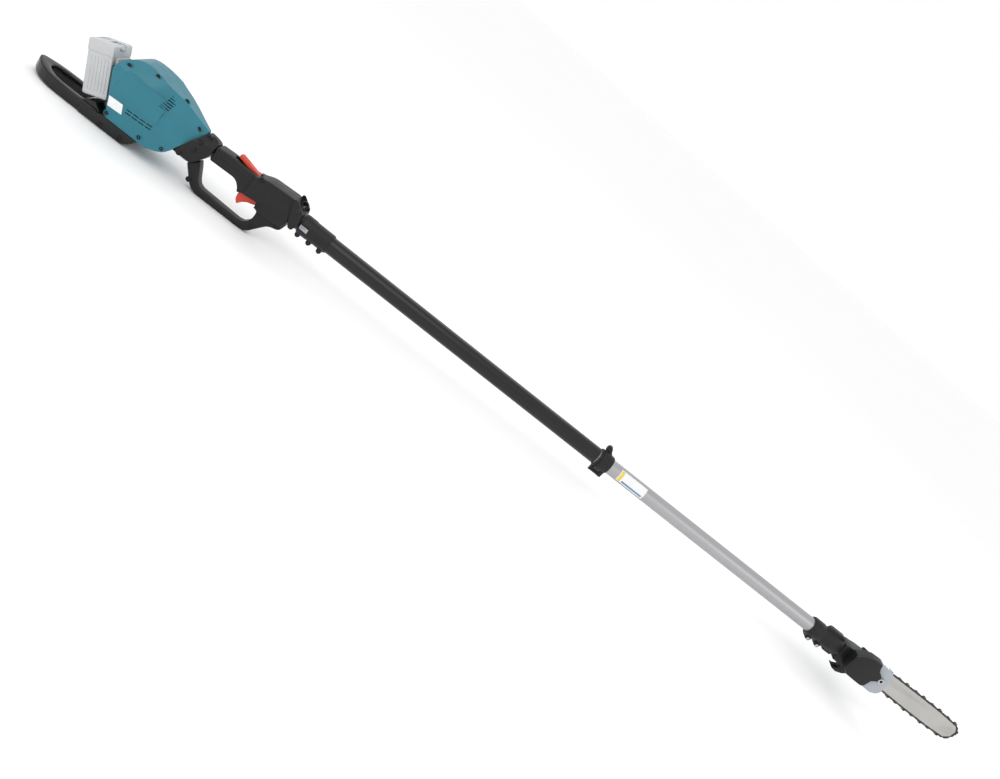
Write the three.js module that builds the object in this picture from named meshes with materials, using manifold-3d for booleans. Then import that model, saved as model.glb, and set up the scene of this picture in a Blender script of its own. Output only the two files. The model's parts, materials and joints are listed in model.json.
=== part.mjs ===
// Telescoping pole saw: battery, motor housing, D-handle, two-stage pole and chainsaw head.
// Millimetres, +Z up.  The pole axis is the X axis of the inner group, the saw tip points to +X,
// and the side with the sprocket cover faces -Y.
import * as THREE from "three";
import * as BufferGeometryUtils from "three/addons/utils/BufferGeometryUtils.js";
import Module from "manifold-3d";

const wasm = await Module();
wasm.setup();

// ---- driving dimensions --------------------------------------------------------------------
const GAP = 0.3; // clearance between pieces that touch
const FIT = 0.1; // radial running clearance of shafts
const SIDES = 20; // facets of a round part
const TUBE_SIDES = 28;

const FLOOR_BELOW_AXIS = 97; // pole axis above the lowest point of the handle
const CENTRE_X = 126.1; // middle of the overall length, from the pole origin

const OUTER_TUBE = { r: 20, bore: 19, from: -585, to: 275 };
const INNER_TUBE = { r: 18.6, bore: 17.4, from: -380, to: 1000 };
const REAR_SHAFT = { r: 6.5, from: -870, to: 300, hexBore: 4.4 };
const FRONT_SHAFT = { hex: 4.2, end: 4.9, from: -390, to: 1101 };

const HOUSING_HALF_WIDTH = 62;
const HOUSING_WALL = 3;
const HANDLE_WALL = 2.6;

const BATTERY_TILT = THREE.MathUtils.degToRad(20); // battery slide direction leans back from upright
const BATTERY_DEPTH = 54;
const BATTERY_WIDTH = 76;

const GUARD_HALF_WIDTH = 46;
const BAR_PLANE = -24; // y of the guide bar's middle plane
const BAR_HEIGHT = 15; // z of the guide bar's centre line
const SPROCKET_X = 1115; // output shaft position along the pole

// ---- materials -----------------------------------------------------------------------------
const paint = (color, roughness, metalness) => new THREE.MeshStandardMaterial({ color, roughness, metalness });
const TEAL = paint(0x2f8c9c, 0.45, 0);
const BLACK = paint(0x2b2b2d, 0.5, 0);
const DARK = paint(0x1c1c1e, 0.6, 0);
const RED = paint(0xd8452f, 0.45, 0);
const PALE = paint(0xc9cacb, 0.5, 0);
const SILVER = paint(0xb9bbbe, 0.35, 1);
const STEEL = paint(0x8f9092, 0.35, 1);
const COVER_GREY = paint(0xb5b9c2, 0.5, 0);
const TUBE_BLACK = paint(0x333336, 0.3, 0.2);
const COPPER = paint(0x8a5a3a, 0.4, 1);
const BRONZE = paint(0x9a7a45, 0.4, 1);
const RUBBER = paint(0x202020, 0.9, 0);
const BAR_STEEL = paint(0xa5a29e, 0.4, 1);

// ---- shape helpers -------------------------------------------------------------------------
const UP = new THREE.Vector3(0, 0, 1);
const ALONG_X = new THREE.Vector3(1, 0, 0);
const ALONG_Y = new THREE.Vector3(0, 1, 0);

const shapeOf = (points) => new THREE.Shape(points.map(([a, b]) => new THREE.Vector2(a, b)));

function extrude(shape, depth, bevel, rounds) {
  return new THREE.ExtrudeGeometry(shape, {
    depth: depth - 2 * bevel,
    bevelEnabled: bevel > 0,
    bevelThickness: bevel,
    bevelSize: bevel,
    bevelOffset: -bevel,
    bevelSegments: rounds,
    curveSegments: 8,
  }).translate(0, 0, bevel);
}

// Outline in X and Z, extruded along Y from y0 to y1.
function slabXZ(points, y0, y1, bevel = 0, rounds = 1) {
  const shape = Array.isArray(points) ? shapeOf(points) : points;
  return extrude(shape, y1 - y0, bevel, rounds).rotateX(Math.PI / 2).translate(0, y1, 0);
}

// Outline in Y and Z, extruded along X from x0 to x1.
function slabYZ(points, x0, x1, bevel = 0, rounds = 1) {
  const shape = Array.isArray(points) ? shapeOf(points) : points;
  const turn = new THREE.Matrix4().makeBasis(ALONG_Y, UP, ALONG_X);
  return extrude(shape, x1 - x0, bevel, rounds).applyMatrix4(turn).translate(x0, 0, 0);
}

// Outline in X and Y, extruded along Z from z0 to z1.
function slabXY(points, z0, z1, bevel = 0, rounds = 1) {
  const shape = Array.isArray(points) ? shapeOf(points) : points;
  return extrude(shape, z1 - z0, bevel, rounds).translate(0, 0, z0);
}

function box(x0, x1, y0, y1, z0, z1) {
  return new THREE.BoxGeometry(x1 - x0, y1 - y0, z1 - z0)
    .translate((x0 + x1) / 2, (y0 + y1) / 2, (z0 + z1) / 2);
}

// Profile of [radius, position] pairs turned about the X axis.
function turnedX(profile, sides = SIDES) {
  const points = profile.map(([r, x]) => new THREE.Vector2(r, x));
  return new THREE.LatheGeometry(points, sides).rotateZ(-Math.PI / 2);
}

function turnedY(profile, x, z, sides = SIDES) {
  const points = profile.map(([r, y]) => new THREE.Vector2(r, y));
  return new THREE.LatheGeometry(points, sides).translate(x, 0, z);
}

function turnedZ(profile, x, y, sides = SIDES) {
  const points = profile.map(([r, z]) => new THREE.Vector2(r, z));
  return new THREE.LatheGeometry(points, sides).rotateX(Math.PI / 2).translate(x, y, 0);
}

const rodX = (r, x0, x1, sides) => turnedX([[0, x0], [r, x0], [r, x1], [0, x1]], sides);
const rodY = (r, y0, y1, x, z, sides) => turnedY([[0, y0], [r, y0], [r, y1], [0, y1]], x, z, sides);
const rodZ = (r, z0, z1, x, y, sides) => turnedZ([[0, z0], [r, z0], [r, z1], [0, z1]], x, y, sides);
const ringX = (r, bore, x0, x1, sides) =>
  turnedX([[bore, x0], [r, x0], [r, x1], [bore, x1], [bore, x0]], sides);
const ringY = (r, bore, y0, y1, x, z, sides) =>
  turnedY([[bore, y0], [r, y0], [r, y1], [bore, y1], [bore, y0]], x, z, sides);

const polygon = (count, r, turn = 0) =>
  Array.from({ length: count }, (_, i) => {
    const angle = turn + (i * 2 * Math.PI) / count;
    return [r * Math.cos(angle), r * Math.sin(angle)];
  });

// ---- booleans ------------------------------------------------------------------------------
function toManifold(geometry) {
  const clean = geometry.clone();
  clean.deleteAttribute("normal");
  clean.deleteAttribute("uv");
  const merged = BufferGeometryUtils.mergeVertices(clean, 1e-4);
  const corners = merged.index.array;
  const kept = [];
  for (let i = 0; i < corners.length; i += 3) {
    const [a, b, c] = [corners[i], corners[i + 1], corners[i + 2]];
    if (a !== b && b !== c && a !== c) {
      kept.push(a, b, c);
    }
  }
  return new wasm.Manifold(new wasm.Mesh({
    numProp: 3,
    vertProperties: new Float32Array(merged.attributes.position.array),
    triVerts: new Uint32Array(kept),
  }));
}

function fromManifold(solid) {
  const mesh = solid.getMesh();
  const geometry = new THREE.BufferGeometry();
  geometry.setAttribute("position", new THREE.BufferAttribute(new Float32Array(mesh.vertProperties), 3));
  geometry.setIndex(new THREE.BufferAttribute(new Uint32Array(mesh.triVerts), 1));
  geometry.computeVertexNormals();
  return geometry;
}

const solid = (item) => (item.isBufferGeometry ? toManifold(item) : item);
const join = (...items) => items.map(solid).reduce((sum, item) => sum.add(item));
const cut = (item, ...tools) => tools.map(solid).reduce((rest, tool) => rest.subtract(tool), solid(item));
const common = (a, b) => solid(a).intersect(solid(b));

// ---- assembly ------------------------------------------------------------------------------
const saw = new THREE.Group();
saw.name = "pole_saw";
const frame = new THREE.Group();
frame.name = "pole_frame";
frame.position.set(-CENTRE_X, 0, FLOOR_BELOW_AXIS);
saw.add(frame);

function add(name, item, material, parent = frame) {
  const geometry = item.isBufferGeometry ? item : fromManifold(item);
  const mesh = new THREE.Mesh(geometry, material);
  mesh.name = name;
  parent.add(mesh);
  return mesh;
}

const rightSide = box(-2000, 2000, -200, -GAP / 2, -200, 200);
const leftSide = box(-2000, 2000, GAP / 2, 200, -200, 200);

// Adds the right and left halves of a clamshell moulding.
function addHalves(name, item, material, right = "right", left = "left") {
  add(`${name}_${right}`, common(item, rightSide), material);
  add(`${name}_${left}`, common(item, leftSide), material);
}

// ---- motor housing -------------------------------------------------------------------------
const housingOutline = [
  [-1042.5, 33], [-1035, 50], [-1026, 62], [-1013, 71], [-997, 75.5], [-976, 76], [-952, 72.5],
  [-926, 65.5], [-900, 60], [-876, 51.5], [-852, 41.5], [-829.6, 33], [-868, -40], [-874, -50],
  [-888, -58], [-912, -66], [-1007.5, -66],
];
const insideOutline = [
  [-1039, 32], [-1032, 48], [-1023.5, 59.5], [-1011.5, 67.6], [-996.5, 72], [-976, 72.5],
  [-952.5, 69], [-927, 62], [-901, 56.6], [-877.5, 48.2], [-853.5, 38.2], [-834, 30.5], [-870, -37],
  [-877, -47], [-889, -54.5], [-912, -62.5], [-1004, -62.5],
];
const sideTaper = (inset) => [
  [-930, -HOUSING_HALF_WIDTH - 60], [-930, -HOUSING_HALF_WIDTH + inset], [-812, -42 + inset], [-812, -122],
];
const taperCut = (inset) => {
  const wedge = slabXY(sideTaper(inset), -110, 110);
  return join(wedge, toManifold(wedge).mirror([0, 1, 0]));
};

// Everything on the outer side of a plane, and the same on the other side of the saw.
function bothSidesBeyond(point, normal) {
  const outwards = new THREE.Vector3(...normal).normalize();
  const turn = new THREE.Quaternion().setFromUnitVectors(UP, outwards);
  const beyond = toManifold(new THREE.BoxGeometry(500, 500, 200)
    .translate(0, 0, 100).applyQuaternion(turn).translate(...point));
  return join(beyond, beyond.mirror([0, 1, 0]));
}
// The upper edges are bevelled, and the shoulders narrow towards the neck.
const shoulderCut = (inset) => join(
  bothSidesBeyond([-950, -51.5 + inset, 56.2], [0, -0.753, 0.658]),
  bothSidesBeyond([-942, -41 + inset, 67], [0.382, -0.826, 0.415]),
);

const housingOuter = cut(
  slabXZ(housingOutline, -HOUSING_HALF_WIDTH, HOUSING_HALF_WIDTH, 13, 2),
  taperCut(0), shoulderCut(0),
);
const ribAt = (x) => cut(box(x, x + 3, -60, 60, -35, 90), rodX(30.4, x - 1, x + 4));
const bearingRibAt = (x, r) => cut(box(x, x + 6, -60, 60, -35, 90), rodX(r, x - 1, x + 7));
const housingRoom = cut(
  slabXZ(insideOutline, HOUSING_WALL - HOUSING_HALF_WIDTH, HOUSING_HALF_WIDTH - HOUSING_WALL, 12, 1),
  taperCut(HOUSING_WALL), shoulderCut(HOUSING_WALL + 1),
  ribAt(-952), ribAt(-922), bearingRibAt(-972, 11.2), bearingRibAt(-884, 11.2),
);

const slideOut = new THREE.Vector3(-Math.sin(BATTERY_TILT), 0, Math.cos(BATTERY_TILT));
const squareOut = new THREE.Vector3(Math.cos(BATTERY_TILT), 0, Math.sin(BATTERY_TILT));
// Puts a shape drawn with X as depth towards the housing and Z as the slide direction in place.
const batteryPlace = new THREE.Matrix4().makeBasis(squareOut, ALONG_Y, slideOut);
const tilted = (geometry) => geometry.applyMatrix4(batteryPlace);
const BATTERY_FRONT = -981;
const DOCK_FACE = -969;
const BATTERY_LOW = 310;
const LID_LINE = 400;
const BATTERY_TOP = 424;

const dockOpening = tilted(box(DOCK_FACE - 8, DOCK_FACE + 12, -33.5, 33.5, 307, 387));

function ventSlots(side) {
  const cuts = [];
  for (let i = 0; i < 8; i += 1) {
    const z = 64 - i * 5.2;
    const x = -912 - i * 0.9;
    cuts.push(slabXZ([[x - 8, z + 0.2], [x + 8, z - 1.6], [x + 8, z + 1.1], [x - 8, z + 2.9]],
      side < 0 ? -75 : 40, side < 0 ? -40 : 75));
  }
  for (let row = 0; row < 2; row += 1) {
    for (let i = 0; i < 4; i += 1) {
      const x = -970 + i * 15.5;
      const z = -20 - row * 7 + i * 0.6;
      cuts.push(box(x - 6, x + 6, side < 0 ? -75 : 50, side < 0 ? -50 : 75, z - 1.4, z + 1.4));
    }
  }
  return cuts.map(solid).reduce((sum, item) => sum.add(item));
}

const housing = cut(
  housingOuter, housingRoom, dockOpening, ventSlots(-1), ventSlots(1),
  rodX(23, -880, -790), box(-1030, -940, -30, 30, -80, -61),
);
addHalves("motor_housing", housing, TEAL);

// ---- motor and rear half of the drive shaft ------------------------------------------------
const statorShape = shapeOf(polygon(SIDES, 30.1));
const statorHole = new THREE.Path();
for (let i = 0; i < 6; i += 1) {
  const start = (i * Math.PI) / 3;
  const corners = [
    [16.9, 0.02], [16.9, 0.72], [18.5, 0.72], [18.5, 0.56], [25.5, 0.52], [25.5, 1.05], [18.5, 1.02],
    [18.5, 0.94],
  ];
  for (const [r, turn] of corners) {
    const point = [r * Math.cos(start + turn), r * Math.sin(start + turn)];
    if (i === 0 && turn === 0.02) {
      statorHole.moveTo(...point);
    } else {
      statorHole.lineTo(...point);
    }
  }
}
statorHole.closePath();
statorShape.holes.push(statorHole);
add("motor_stator", slabYZ(statorShape, -958, -912), COPPER);

const rotorProfile = [
  [0, -976], [4, -976], [4, -962], [15.2, -962], [15.2, -908], [6, -908], [6, -884.5], [4, -884.5],
  [4, -850], [0, -850],
];
add("motor_rotor", turnedX(rotorProfile), STEEL);
add("motor_bearing_rear", ringX(11, 4 + FIT, -972, -965.5), STEEL);
add("motor_bearing_front", ringX(11, 4 + FIT, -884, -877.5), STEEL);

const fanBlade = slabYZ([[7, -1], [27, -5], [27, -3.4], [7, 1]], -903.5, -888.5);
const fanParts = [ringX(9, 6 + GAP, -904, -888, 16), ringX(28, 24, -891, -888, 16)];
for (let i = 0; i < 9; i += 1) {
  fanParts.push(fanBlade.clone().rotateX((i * 2 * Math.PI) / 9));
}
add("cooling_fan", join(...fanParts), DARK);

const hexagon = (r) => polygon(6, r / Math.cos(Math.PI / 6));
const rearShaft = cut(
  rodX(REAR_SHAFT.r, REAR_SHAFT.from, REAR_SHAFT.to),
  rodX(4 + GAP, REAR_SHAFT.from - 1, -845),
  slabYZ(hexagon(REAR_SHAFT.hexBore), -420, REAR_SHAFT.to + 1),
);
add("drive_shaft_rear", rearShaft, STEEL);

// ---- controller and battery dock -----------------------------------------------------------
const controllerBox = join(box(-1000, -905, -42, 42, -60, -44), box(-990, -915, -36, 36, -45, -40));
const fins = Array.from({ length: 5 }, (_, i) => box(-975 + i * 10, -972 + i * 10, -30, 30, -41, -36));
add("controller", join(controllerBox, ...fins), SILVER);

const railHook = (side) => {
  const y = (v) => side * v;
  const points = [[DOCK_FACE - 4, y(33)], [DOCK_FACE + 2, y(33)], [DOCK_FACE + 2, y(28.5)],
    [DOCK_FACE - 9.5, y(28.5)], [DOCK_FACE - 9.5, y(24)], [DOCK_FACE - 11.5, y(24)],
    [DOCK_FACE - 11.5, y(33)]];
  return tilted(slabXY(side > 0 ? points.reverse() : points, 310, 384));
};
const dockPlate = tilted(box(DOCK_FACE + 0.5, DOCK_FACE + 6, -33, 33, 308, 384));
const dockContacts = [-14, 0, 14].map((y) => tilted(box(DOCK_FACE - 6, DOCK_FACE + 1, y - 1, y + 1, 330, 362)));
add("battery_dock", join(dockPlate, railHook(-1), railHook(1), ...dockContacts), DARK);

// ---- battery -------------------------------------------------------------------------------
const HALF = BATTERY_WIDTH / 2;
const BATTERY_BACK = BATTERY_FRONT - BATTERY_DEPTH;
const batteryOutline = (inset) => [
  [BATTERY_BACK + inset, -HALF + 6 + inset], [BATTERY_BACK + 6 + inset, -HALF + inset],
  [BATTERY_FRONT - inset, -HALF + inset], [BATTERY_FRONT - inset, HALF - inset],
  [BATTERY_BACK + 6 + inset, HALF - inset], [BATTERY_BACK + inset, HALF - 6 - inset],
];
const railFoot = slabXY([
  [BATTERY_FRONT - 0.5, -23.2], [BATTERY_FRONT + 2.6, -23.2], [BATTERY_FRONT + 2.6, -27.6],
  [BATTERY_FRONT + 8, -27.6], [BATTERY_FRONT + 8, 27.6], [BATTERY_FRONT + 2.6, 27.6],
  [BATTERY_FRONT + 2.6, 23.2], [BATTERY_FRONT - 0.5, 23.2],
], BATTERY_LOW + 12, LID_LINE - 2);
const contactSlots = [-14, 0, 14].map((y) =>
  box(BATTERY_FRONT + 4, BATTERY_FRONT + 9, y - 2.5, y + 2.5, BATTERY_LOW + 2, BATTERY_LOW + 56));
const caseBody = cut(
  join(slabXY(batteryOutline(0), BATTERY_LOW, LID_LINE + 9, 5, 2), railFoot),
  slabXY(batteryOutline(2.4), BATTERY_LOW + 2.4, LID_LINE + 1),
  box(BATTERY_BACK - 9, BATTERY_FRONT + 9, -HALF - 9, HALF + 9, LID_LINE, LID_LINE + 19),
  ...contactSlots,
);
add("battery_case", tilted(fromManifold(caseBody)), PALE);

const lidSolid = cut(
  slabXY(batteryOutline(-1), LID_LINE + GAP, BATTERY_TOP, 5, 2),
  slabXY(batteryOutline(3), LID_LINE - 1, BATTERY_TOP - 4),
  box(BATTERY_FRONT - 24, BATTERY_FRONT + 3, -13, 13, LID_LINE + 12, BATTERY_TOP + 1),
);
add("battery_lid", tilted(fromManifold(lidSolid)), PALE);

const buttonSolid = join(
  box(BATTERY_FRONT - 19, BATTERY_FRONT - 0.5, -12.5, 12.5, LID_LINE + 13, BATTERY_TOP - 2),
  box(BATTERY_FRONT - 1, BATTERY_FRONT + 4, -8, 8, LID_LINE + 14, LID_LINE + 18),
);
add("battery_button", tilted(fromManifold(buttonSolid)), PALE);

const CELL_RADIUS = 10.2;
const cells = [];
for (let row = 0; row < 2; row += 1) {
  for (let i = 0; i < 4; i += 1) {
    const s = BATTERY_BACK + 16.5 + row * 22;
    const t = BATTERY_LOW + 13.4 + i * 20.6;
    cells.push(rodY(CELL_RADIUS, -33, 33, s, t, 10));
  }
}
const holderSide = (y0, y1) =>
  box(BATTERY_BACK + 9, BATTERY_FRONT - 5, y0, y1, BATTERY_LOW + 10, LID_LINE - 4);
add("battery_cells", tilted(fromManifold(join(...cells, holderSide(-34.5, -28), holderSide(28, 34.5)))), STEEL);

// ---- rear guard loop -----------------------------------------------------------------------
// Half of a loop seen from above, from its front end round to the middle of its rear, mirrored.
const bothHalves = (half) => [...half.map(([x, y]) => [x, -y]), ...[...half].reverse()];
const GUARD_LOW = -97;
const GUARD_HIGH = -71;
const guardRing = slabXY(bothHalves([
  [-1030, GUARD_HALF_WIDTH], [-1100, GUARD_HALF_WIDTH], [-1132, 45], [-1152, 41], [-1170, 33],
  [-1183, 23], [-1192, 12], [-1196, 4],
]), GUARD_LOW, GUARD_HIGH, 6, 2);
const guardOpening = slabXY(bothHalves([
  [-1066, 30], [-1120, 30], [-1138, 27.5], [-1152, 21], [-1162, 12], [-1167, 4],
]), GUARD_LOW - 2, GUARD_HIGH + 2);
// The rear of the loop sweeps upwards.
function sweepUp(geometry) {
  const position = geometry.attributes.position;
  for (let i = 0; i < position.count; i += 1) {
    const behind = Math.max(0, -1100 - position.getX(i));
    position.setZ(i, position.getZ(i) + 0.001 * behind * behind);
  }
  return geometry;
}
const loopBody = sweepUp(fromManifold(cut(guardRing, guardOpening)));
const crossBlock = slabXZ([
  [-1068, -90], [-1069, -74], [-1065, -66], [-1054, -61], [-1042, -59], [-1036, -64.5], [-1026, -71],
  [-1024, -90],
], -40, 40, 2, 1);
const guardFoot = slabXZ([
  [-1064, -97], [-1065, -74], [-1026, -72], [-1012, -66.4], [-932, -66.4], [-936, -76], [-944, -88],
  [-957, -97],
], -50, 50, 4, 2);
const footRoom = box(-1020, -951, -44, 44, -91, -60);
add("guard_loop", cut(join(loopBody, crossBlock, guardFoot), footRoom), BLACK);

// ---- neck between motor housing and grip ---------------------------------------------------
const neckOutline = [
  [-828.5, 33], [-808, 31.5], [-799.5, 26], [-799.5, 12], [-802.5, -8], [-812, -24], [-822, -36],
  [-840, -49], [-856, -49.5], [-868, -40],
];
const neckRoom = [
  [-836, 29.5], [-809, 28], [-803.5, 23], [-803.5, 11], [-806, -6], [-816, -21], [-827, -33],
  [-842, -44], [-850, -43], [-872, -36.5],
];
const neckTaper = slabXY([[-880, -90], [-880, -52.2], [-799, -24.5], [-780, -20], [-780, -90]], -80, 80);
const neckCut = join(neckTaper, toManifold(neckTaper).mirror([0, 1, 0]));
const neckShoulders = (inset) => join(
  bothSidesBeyond([-830, -8 + inset, 33], [0.12, -0.62, 0.78]),
  bothSidesBeyond([-830, -33 + inset, 14], [0.16, -0.9, 0.42]),
  bothSidesBeyond([-850, -40 + inset, -36], [0, -0.41, -0.91]),
);
const neckShell = cut(
  slabXZ(neckOutline, -46, 46, 7), neckCut, neckShoulders(0),
  cut(slabXZ(neckRoom, -43, 43, 6, 1), toManifold(neckTaper).translate([0, 3, 0]),
    toManifold(neckTaper).mirror([0, 1, 0]).translate([0, -3, 0]), neckShoulders(4)),
  rodX(10, -812, -790),
);
const behindHousing = slabXZ([[-828 + GAP, 36], [-868 + GAP, -40], [-900, -70], [-900, 60]], -80, 80);
addHalves("neck_housing", cut(neckShell, behindHousing), BLACK);

// ---- D-handle with grip and control box ----------------------------------------------------
const handleOutline = [
  [-799, 23.5], [-760, 26], [-700, 26], [-691, 28], [-680, 33], [-668, 36.5], [-608, 40], [-602, 37],
  [-594, 27], [-593, -18], [-595, -32], [-599, -43], [-606, -47], [-618, -50], [-627, -56], [-642, -75],
  [-651, -87], [-661, -95], [-672, -97], [-788, -97], [-801, -92], [-810, -84], [-836, -50],
  [-821.5, -36.5], [-814.5, -29], [-808, -40], [-797, -65], [-791, -74], [-781, -78.5], [-686, -81.5],
  [-674, -79], [-665, -70], [-660, -58], [-660, -44], [-666, -33], [-718, -33], [-722, -20],
  [-730, -12.5], [-739, -9.5], [-799, -11.5],
];
const insetPath = (points, inset) => {
  const count = points.length;
  return points.map((point, i) => {
    const before = points[(i + count - 1) % count];
    const after = points[(i + 1) % count];
    const a = new THREE.Vector2(point[0] - before[0], point[1] - before[1]).normalize();
    const b = new THREE.Vector2(after[0] - point[0], after[1] - point[1]).normalize();
    const normal = new THREE.Vector2(-(a.y + b.y), a.x + b.x).normalize();
    const reach = inset / Math.max(0.35, -a.y * normal.x + a.x * normal.y);
    return [point[0] + normal.x * reach, point[1] + normal.y * reach];
  });
};
const clockwise = (points) => (THREE.ShapeUtils.isClockWise(points.map(([x, y]) => new THREE.Vector2(x, y)))
  ? points : [...points].reverse());
const inward = (points, inset) => insetPath(clockwise(points), -inset);
const GRIP_HALF = 20.5;
const LOOP_HALF = 12.5;
const BOX_HALF = 27;
const gripPart = common(
  slabXZ([[-799, 40], [-690, 40], [-690, -34], [-730, -34], [-730, -10], [-799, -12]], -60, 60),
  slabXZ([[-799, 23.5], [-760, 26.5], [-680, 26.5], [-680, -36], [-716, -36], [-721, -22], [-730, -12.5],
    [-739, -9.5], [-799, -11.5]], -GRIP_HALF, GRIP_HALF, 8, 2),
);
const boxOutline = [
  [-702, 26], [-691, 28], [-680, 33], [-668, 36.5], [-608, 40], [-602, 37], [-594, 27], [-593, -18],
  [-598, -30], [-655, -36], [-666, -33], [-702, -32],
];
const handleOutside = join(
  slabXZ(handleOutline, -LOOP_HALF, LOOP_HALF, 4),
  gripPart,
  slabXZ(boxOutline, -BOX_HALF, BOX_HALF, 6),
);
const handleRoom = join(
  slabXZ(inward(handleOutline, HANDLE_WALL), HANDLE_WALL - LOOP_HALF, LOOP_HALF - HANDLE_WALL),
  slabXZ(inward([[-796, 23.5], [-760, 26.5], [-680, 26.5], [-680, -33], [-713, -33], [-721, -22],
    [-730, -12.5], [-739, -9.5], [-796, -11.5]], HANDLE_WALL + 0.4),
    HANDLE_WALL - GRIP_HALF, GRIP_HALF - HANDLE_WALL, 6, 1),
  rodX(REAR_SHAFT.r + 0.8, -790, -700),
  slabXZ(inward(boxOutline, HANDLE_WALL), HANDLE_WALL - BOX_HALF, BOX_HALF - HANDLE_WALL, 4, 1),
);
const triggerSlot = box(-719, -655, -8.6, 8.6, -42, -24);
const leverSlot = box(-760, -692, -8.4, 8.4, 20, 40);
const handleShell = cut(
  handleOutside, handleRoom, triggerSlot, leverSlot,
  rodX(11, -802, -793), rodX(OUTER_TUBE.r + GAP, -600, -580),
);
const neckClear = slabXZ([
  [-799.2, 40], [-799.2, 12], [-802.2, -8], [-811.7, -24], [-821.7, -36], [-839.7, -49.3], [-870, -60], [-870, 40],
], -80, 80);
addHalves("handle", cut(handleShell, neckClear), BLACK);

// ---- trigger, lock-off lever and switch ----------------------------------------------------
const TRIGGER_PIVOT = { x: -664, z: -22 };
const triggerOutline = [
  [-715, -37], [-713, -48], [-706, -57], [-699, -47], [-688, -39], [-676, -35.5], [-668, -31],
  [-659, -25], [-659, -18], [-668, -16.5], [-702, -21], [-711, -27],
];
const trigger = cut(
  slabXZ(triggerOutline, -8, 8, 2, 1),
  rodY(2.2, -20, 20, TRIGGER_PIVOT.x, TRIGGER_PIVOT.z, 16),
  box(-671.5, -656, -4, 4, -30, -14),
);
add("trigger", trigger, RED);
add("trigger_pin", rodY(2, -17.5, 17.5, TRIGGER_PIVOT.x, TRIGGER_PIVOT.z, 16), STEEL);

class CoilCurve extends THREE.Curve {
  constructor(radius, length, turns) {
    super();
    this.radius = radius;
    this.length = length;
    this.turns = turns;
  }

  getPoint(t, target = new THREE.Vector3()) {
    const angle = t * this.turns * 2 * Math.PI;
    return target.set(this.radius * Math.cos(angle), (t - 0.5) * this.length, this.radius * Math.sin(angle));
  }
}
const coilSpring = (radius, length, turns, wire) => new THREE.ExtrudeGeometry(shapeOf(polygon(5, wire)), {
  steps: Math.round(turns * 8),
  bevelEnabled: false,
  extrudePath: new CoilCurve(radius, length, turns),
});
add("trigger_spring", coilSpring(3.1, 6, 3, 0.5), STEEL).position.set(TRIGGER_PIVOT.x, 0, TRIGGER_PIVOT.z);

const LEVER_PIVOT = { x: -700, z: 20.5 };
const leverOutline = [
  [-753, 31], [-753, 38.5], [-748, 39.2], [-700, 27.6], [-695.5, 24], [-695.5, 18], [-704, 17], [-712, 21],
];
const lockOff = cut(
  slabXZ(leverOutline, -7.6, 7.6, 1.5, 1),
  rodY(2.2, -20, 20, LEVER_PIVOT.x, LEVER_PIVOT.z, 16),
  box(-707, -690, -3.6, 3.6, 10, 25.4),
);
add("lock_off_lever", lockOff, RED);
add("lock_off_pin", rodY(2, -12, 12, LEVER_PIVOT.x, LEVER_PIVOT.z, 16), STEEL);
add("lock_off_spring", coilSpring(2.9, 5.6, 3, 0.45), STEEL).position.set(LEVER_PIVOT.x, 0, LEVER_PIVOT.z);
add("switch_unit", cut(
  join(box(-700, -618, -14, 14, -9, 15), box(-650, -610, -20, 20, 10, 32), box(-612, -604, -10, 10, 16, 26)),
  rodX(REAR_SHAFT.r + 3, -720, -600), box(-720, -600, -5, 5, -12, 0),
), DARK);

// ---- hanger ring and bracket ---------------------------------------------------------------
const HANGER_BOLT = { x: -586.5, z: 27.5 };
const bracketOutline = [
  [-606, 33], [-606, 43.2], [-600, 44.5], [-576, 27], [-572, 12], [-571, -4], [-577, -19], [-586, -19],
  [-593, -7], [-600, 18],
];
add("hanger_bracket", cut(
  slabXZ(bracketOutline, -32, 32, 2.5),
  box(-620, -592.6, -BOX_HALF - GAP, BOX_HALF + GAP, -60, 60),
  box(-595, -560, -24, 24, 22.6, 60),
  rodX(OUTER_TUBE.r + GAP, -600, -560),
  rodY(2.8, -40, 40, HANGER_BOLT.x, HANGER_BOLT.z),
), BLACK);

class LoopCurve extends THREE.Curve {
  getPoint(t, target = new THREE.Vector3()) {
    const angle = (0.12 + t * 1.76) * Math.PI;
    return target.set(0, 7 * Math.sin(angle), 8.5 - 8 * Math.cos(angle));
  }
}
const ringWire = new THREE.ExtrudeGeometry(shapeOf(polygon(8, 2.2)), {
  steps: 18, bevelEnabled: false, extrudePath: new LoopCurve(),
});
const hangerRing = join(
  ringWire.rotateZ(Math.PI / 2),
  ringY(4.4, 2.5 + GAP, -7, 7, 0, 0),
);
const ringMesh = add("hanger_ring", hangerRing, DARK);
ringMesh.position.set(HANGER_BOLT.x, 0, HANGER_BOLT.z);
add("hanger_bolt", join(
  rodY(2.5, -33, 33, HANGER_BOLT.x, HANGER_BOLT.z, 12),
  rodY(4.6, -35.4, -32.2, HANGER_BOLT.x, HANGER_BOLT.z, 16),
  rodY(4.6, 32.2, 35.4, HANGER_BOLT.x, HANGER_BOLT.z, 6),
), STEEL);

// ---- clamp sleeve behind the handle --------------------------------------------------------
const CLAMP_LUGS = [-563, -534, -506];
const sleeve = cut(
  join(
    turnedX([
      [0, -570], [23, -570], [24.5, -566], [24.5, -545], [23.2, -540], [23.2, -498], [22, -494], [0, -494],
    ]),
    ...CLAMP_LUGS.map((x) => slabXZ([
      [x - 6, -16], [x - 6, -27], [x - 2, -31], [x + 2, -31], [x + 6, -27], [x + 6, -16],
    ], -11, 11, 1.5, 1)),
  ),
  rodX(OUTER_TUBE.r + GAP, -580, -480),
);
addHalves("pole_clamp", sleeve, BLACK);

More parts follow.
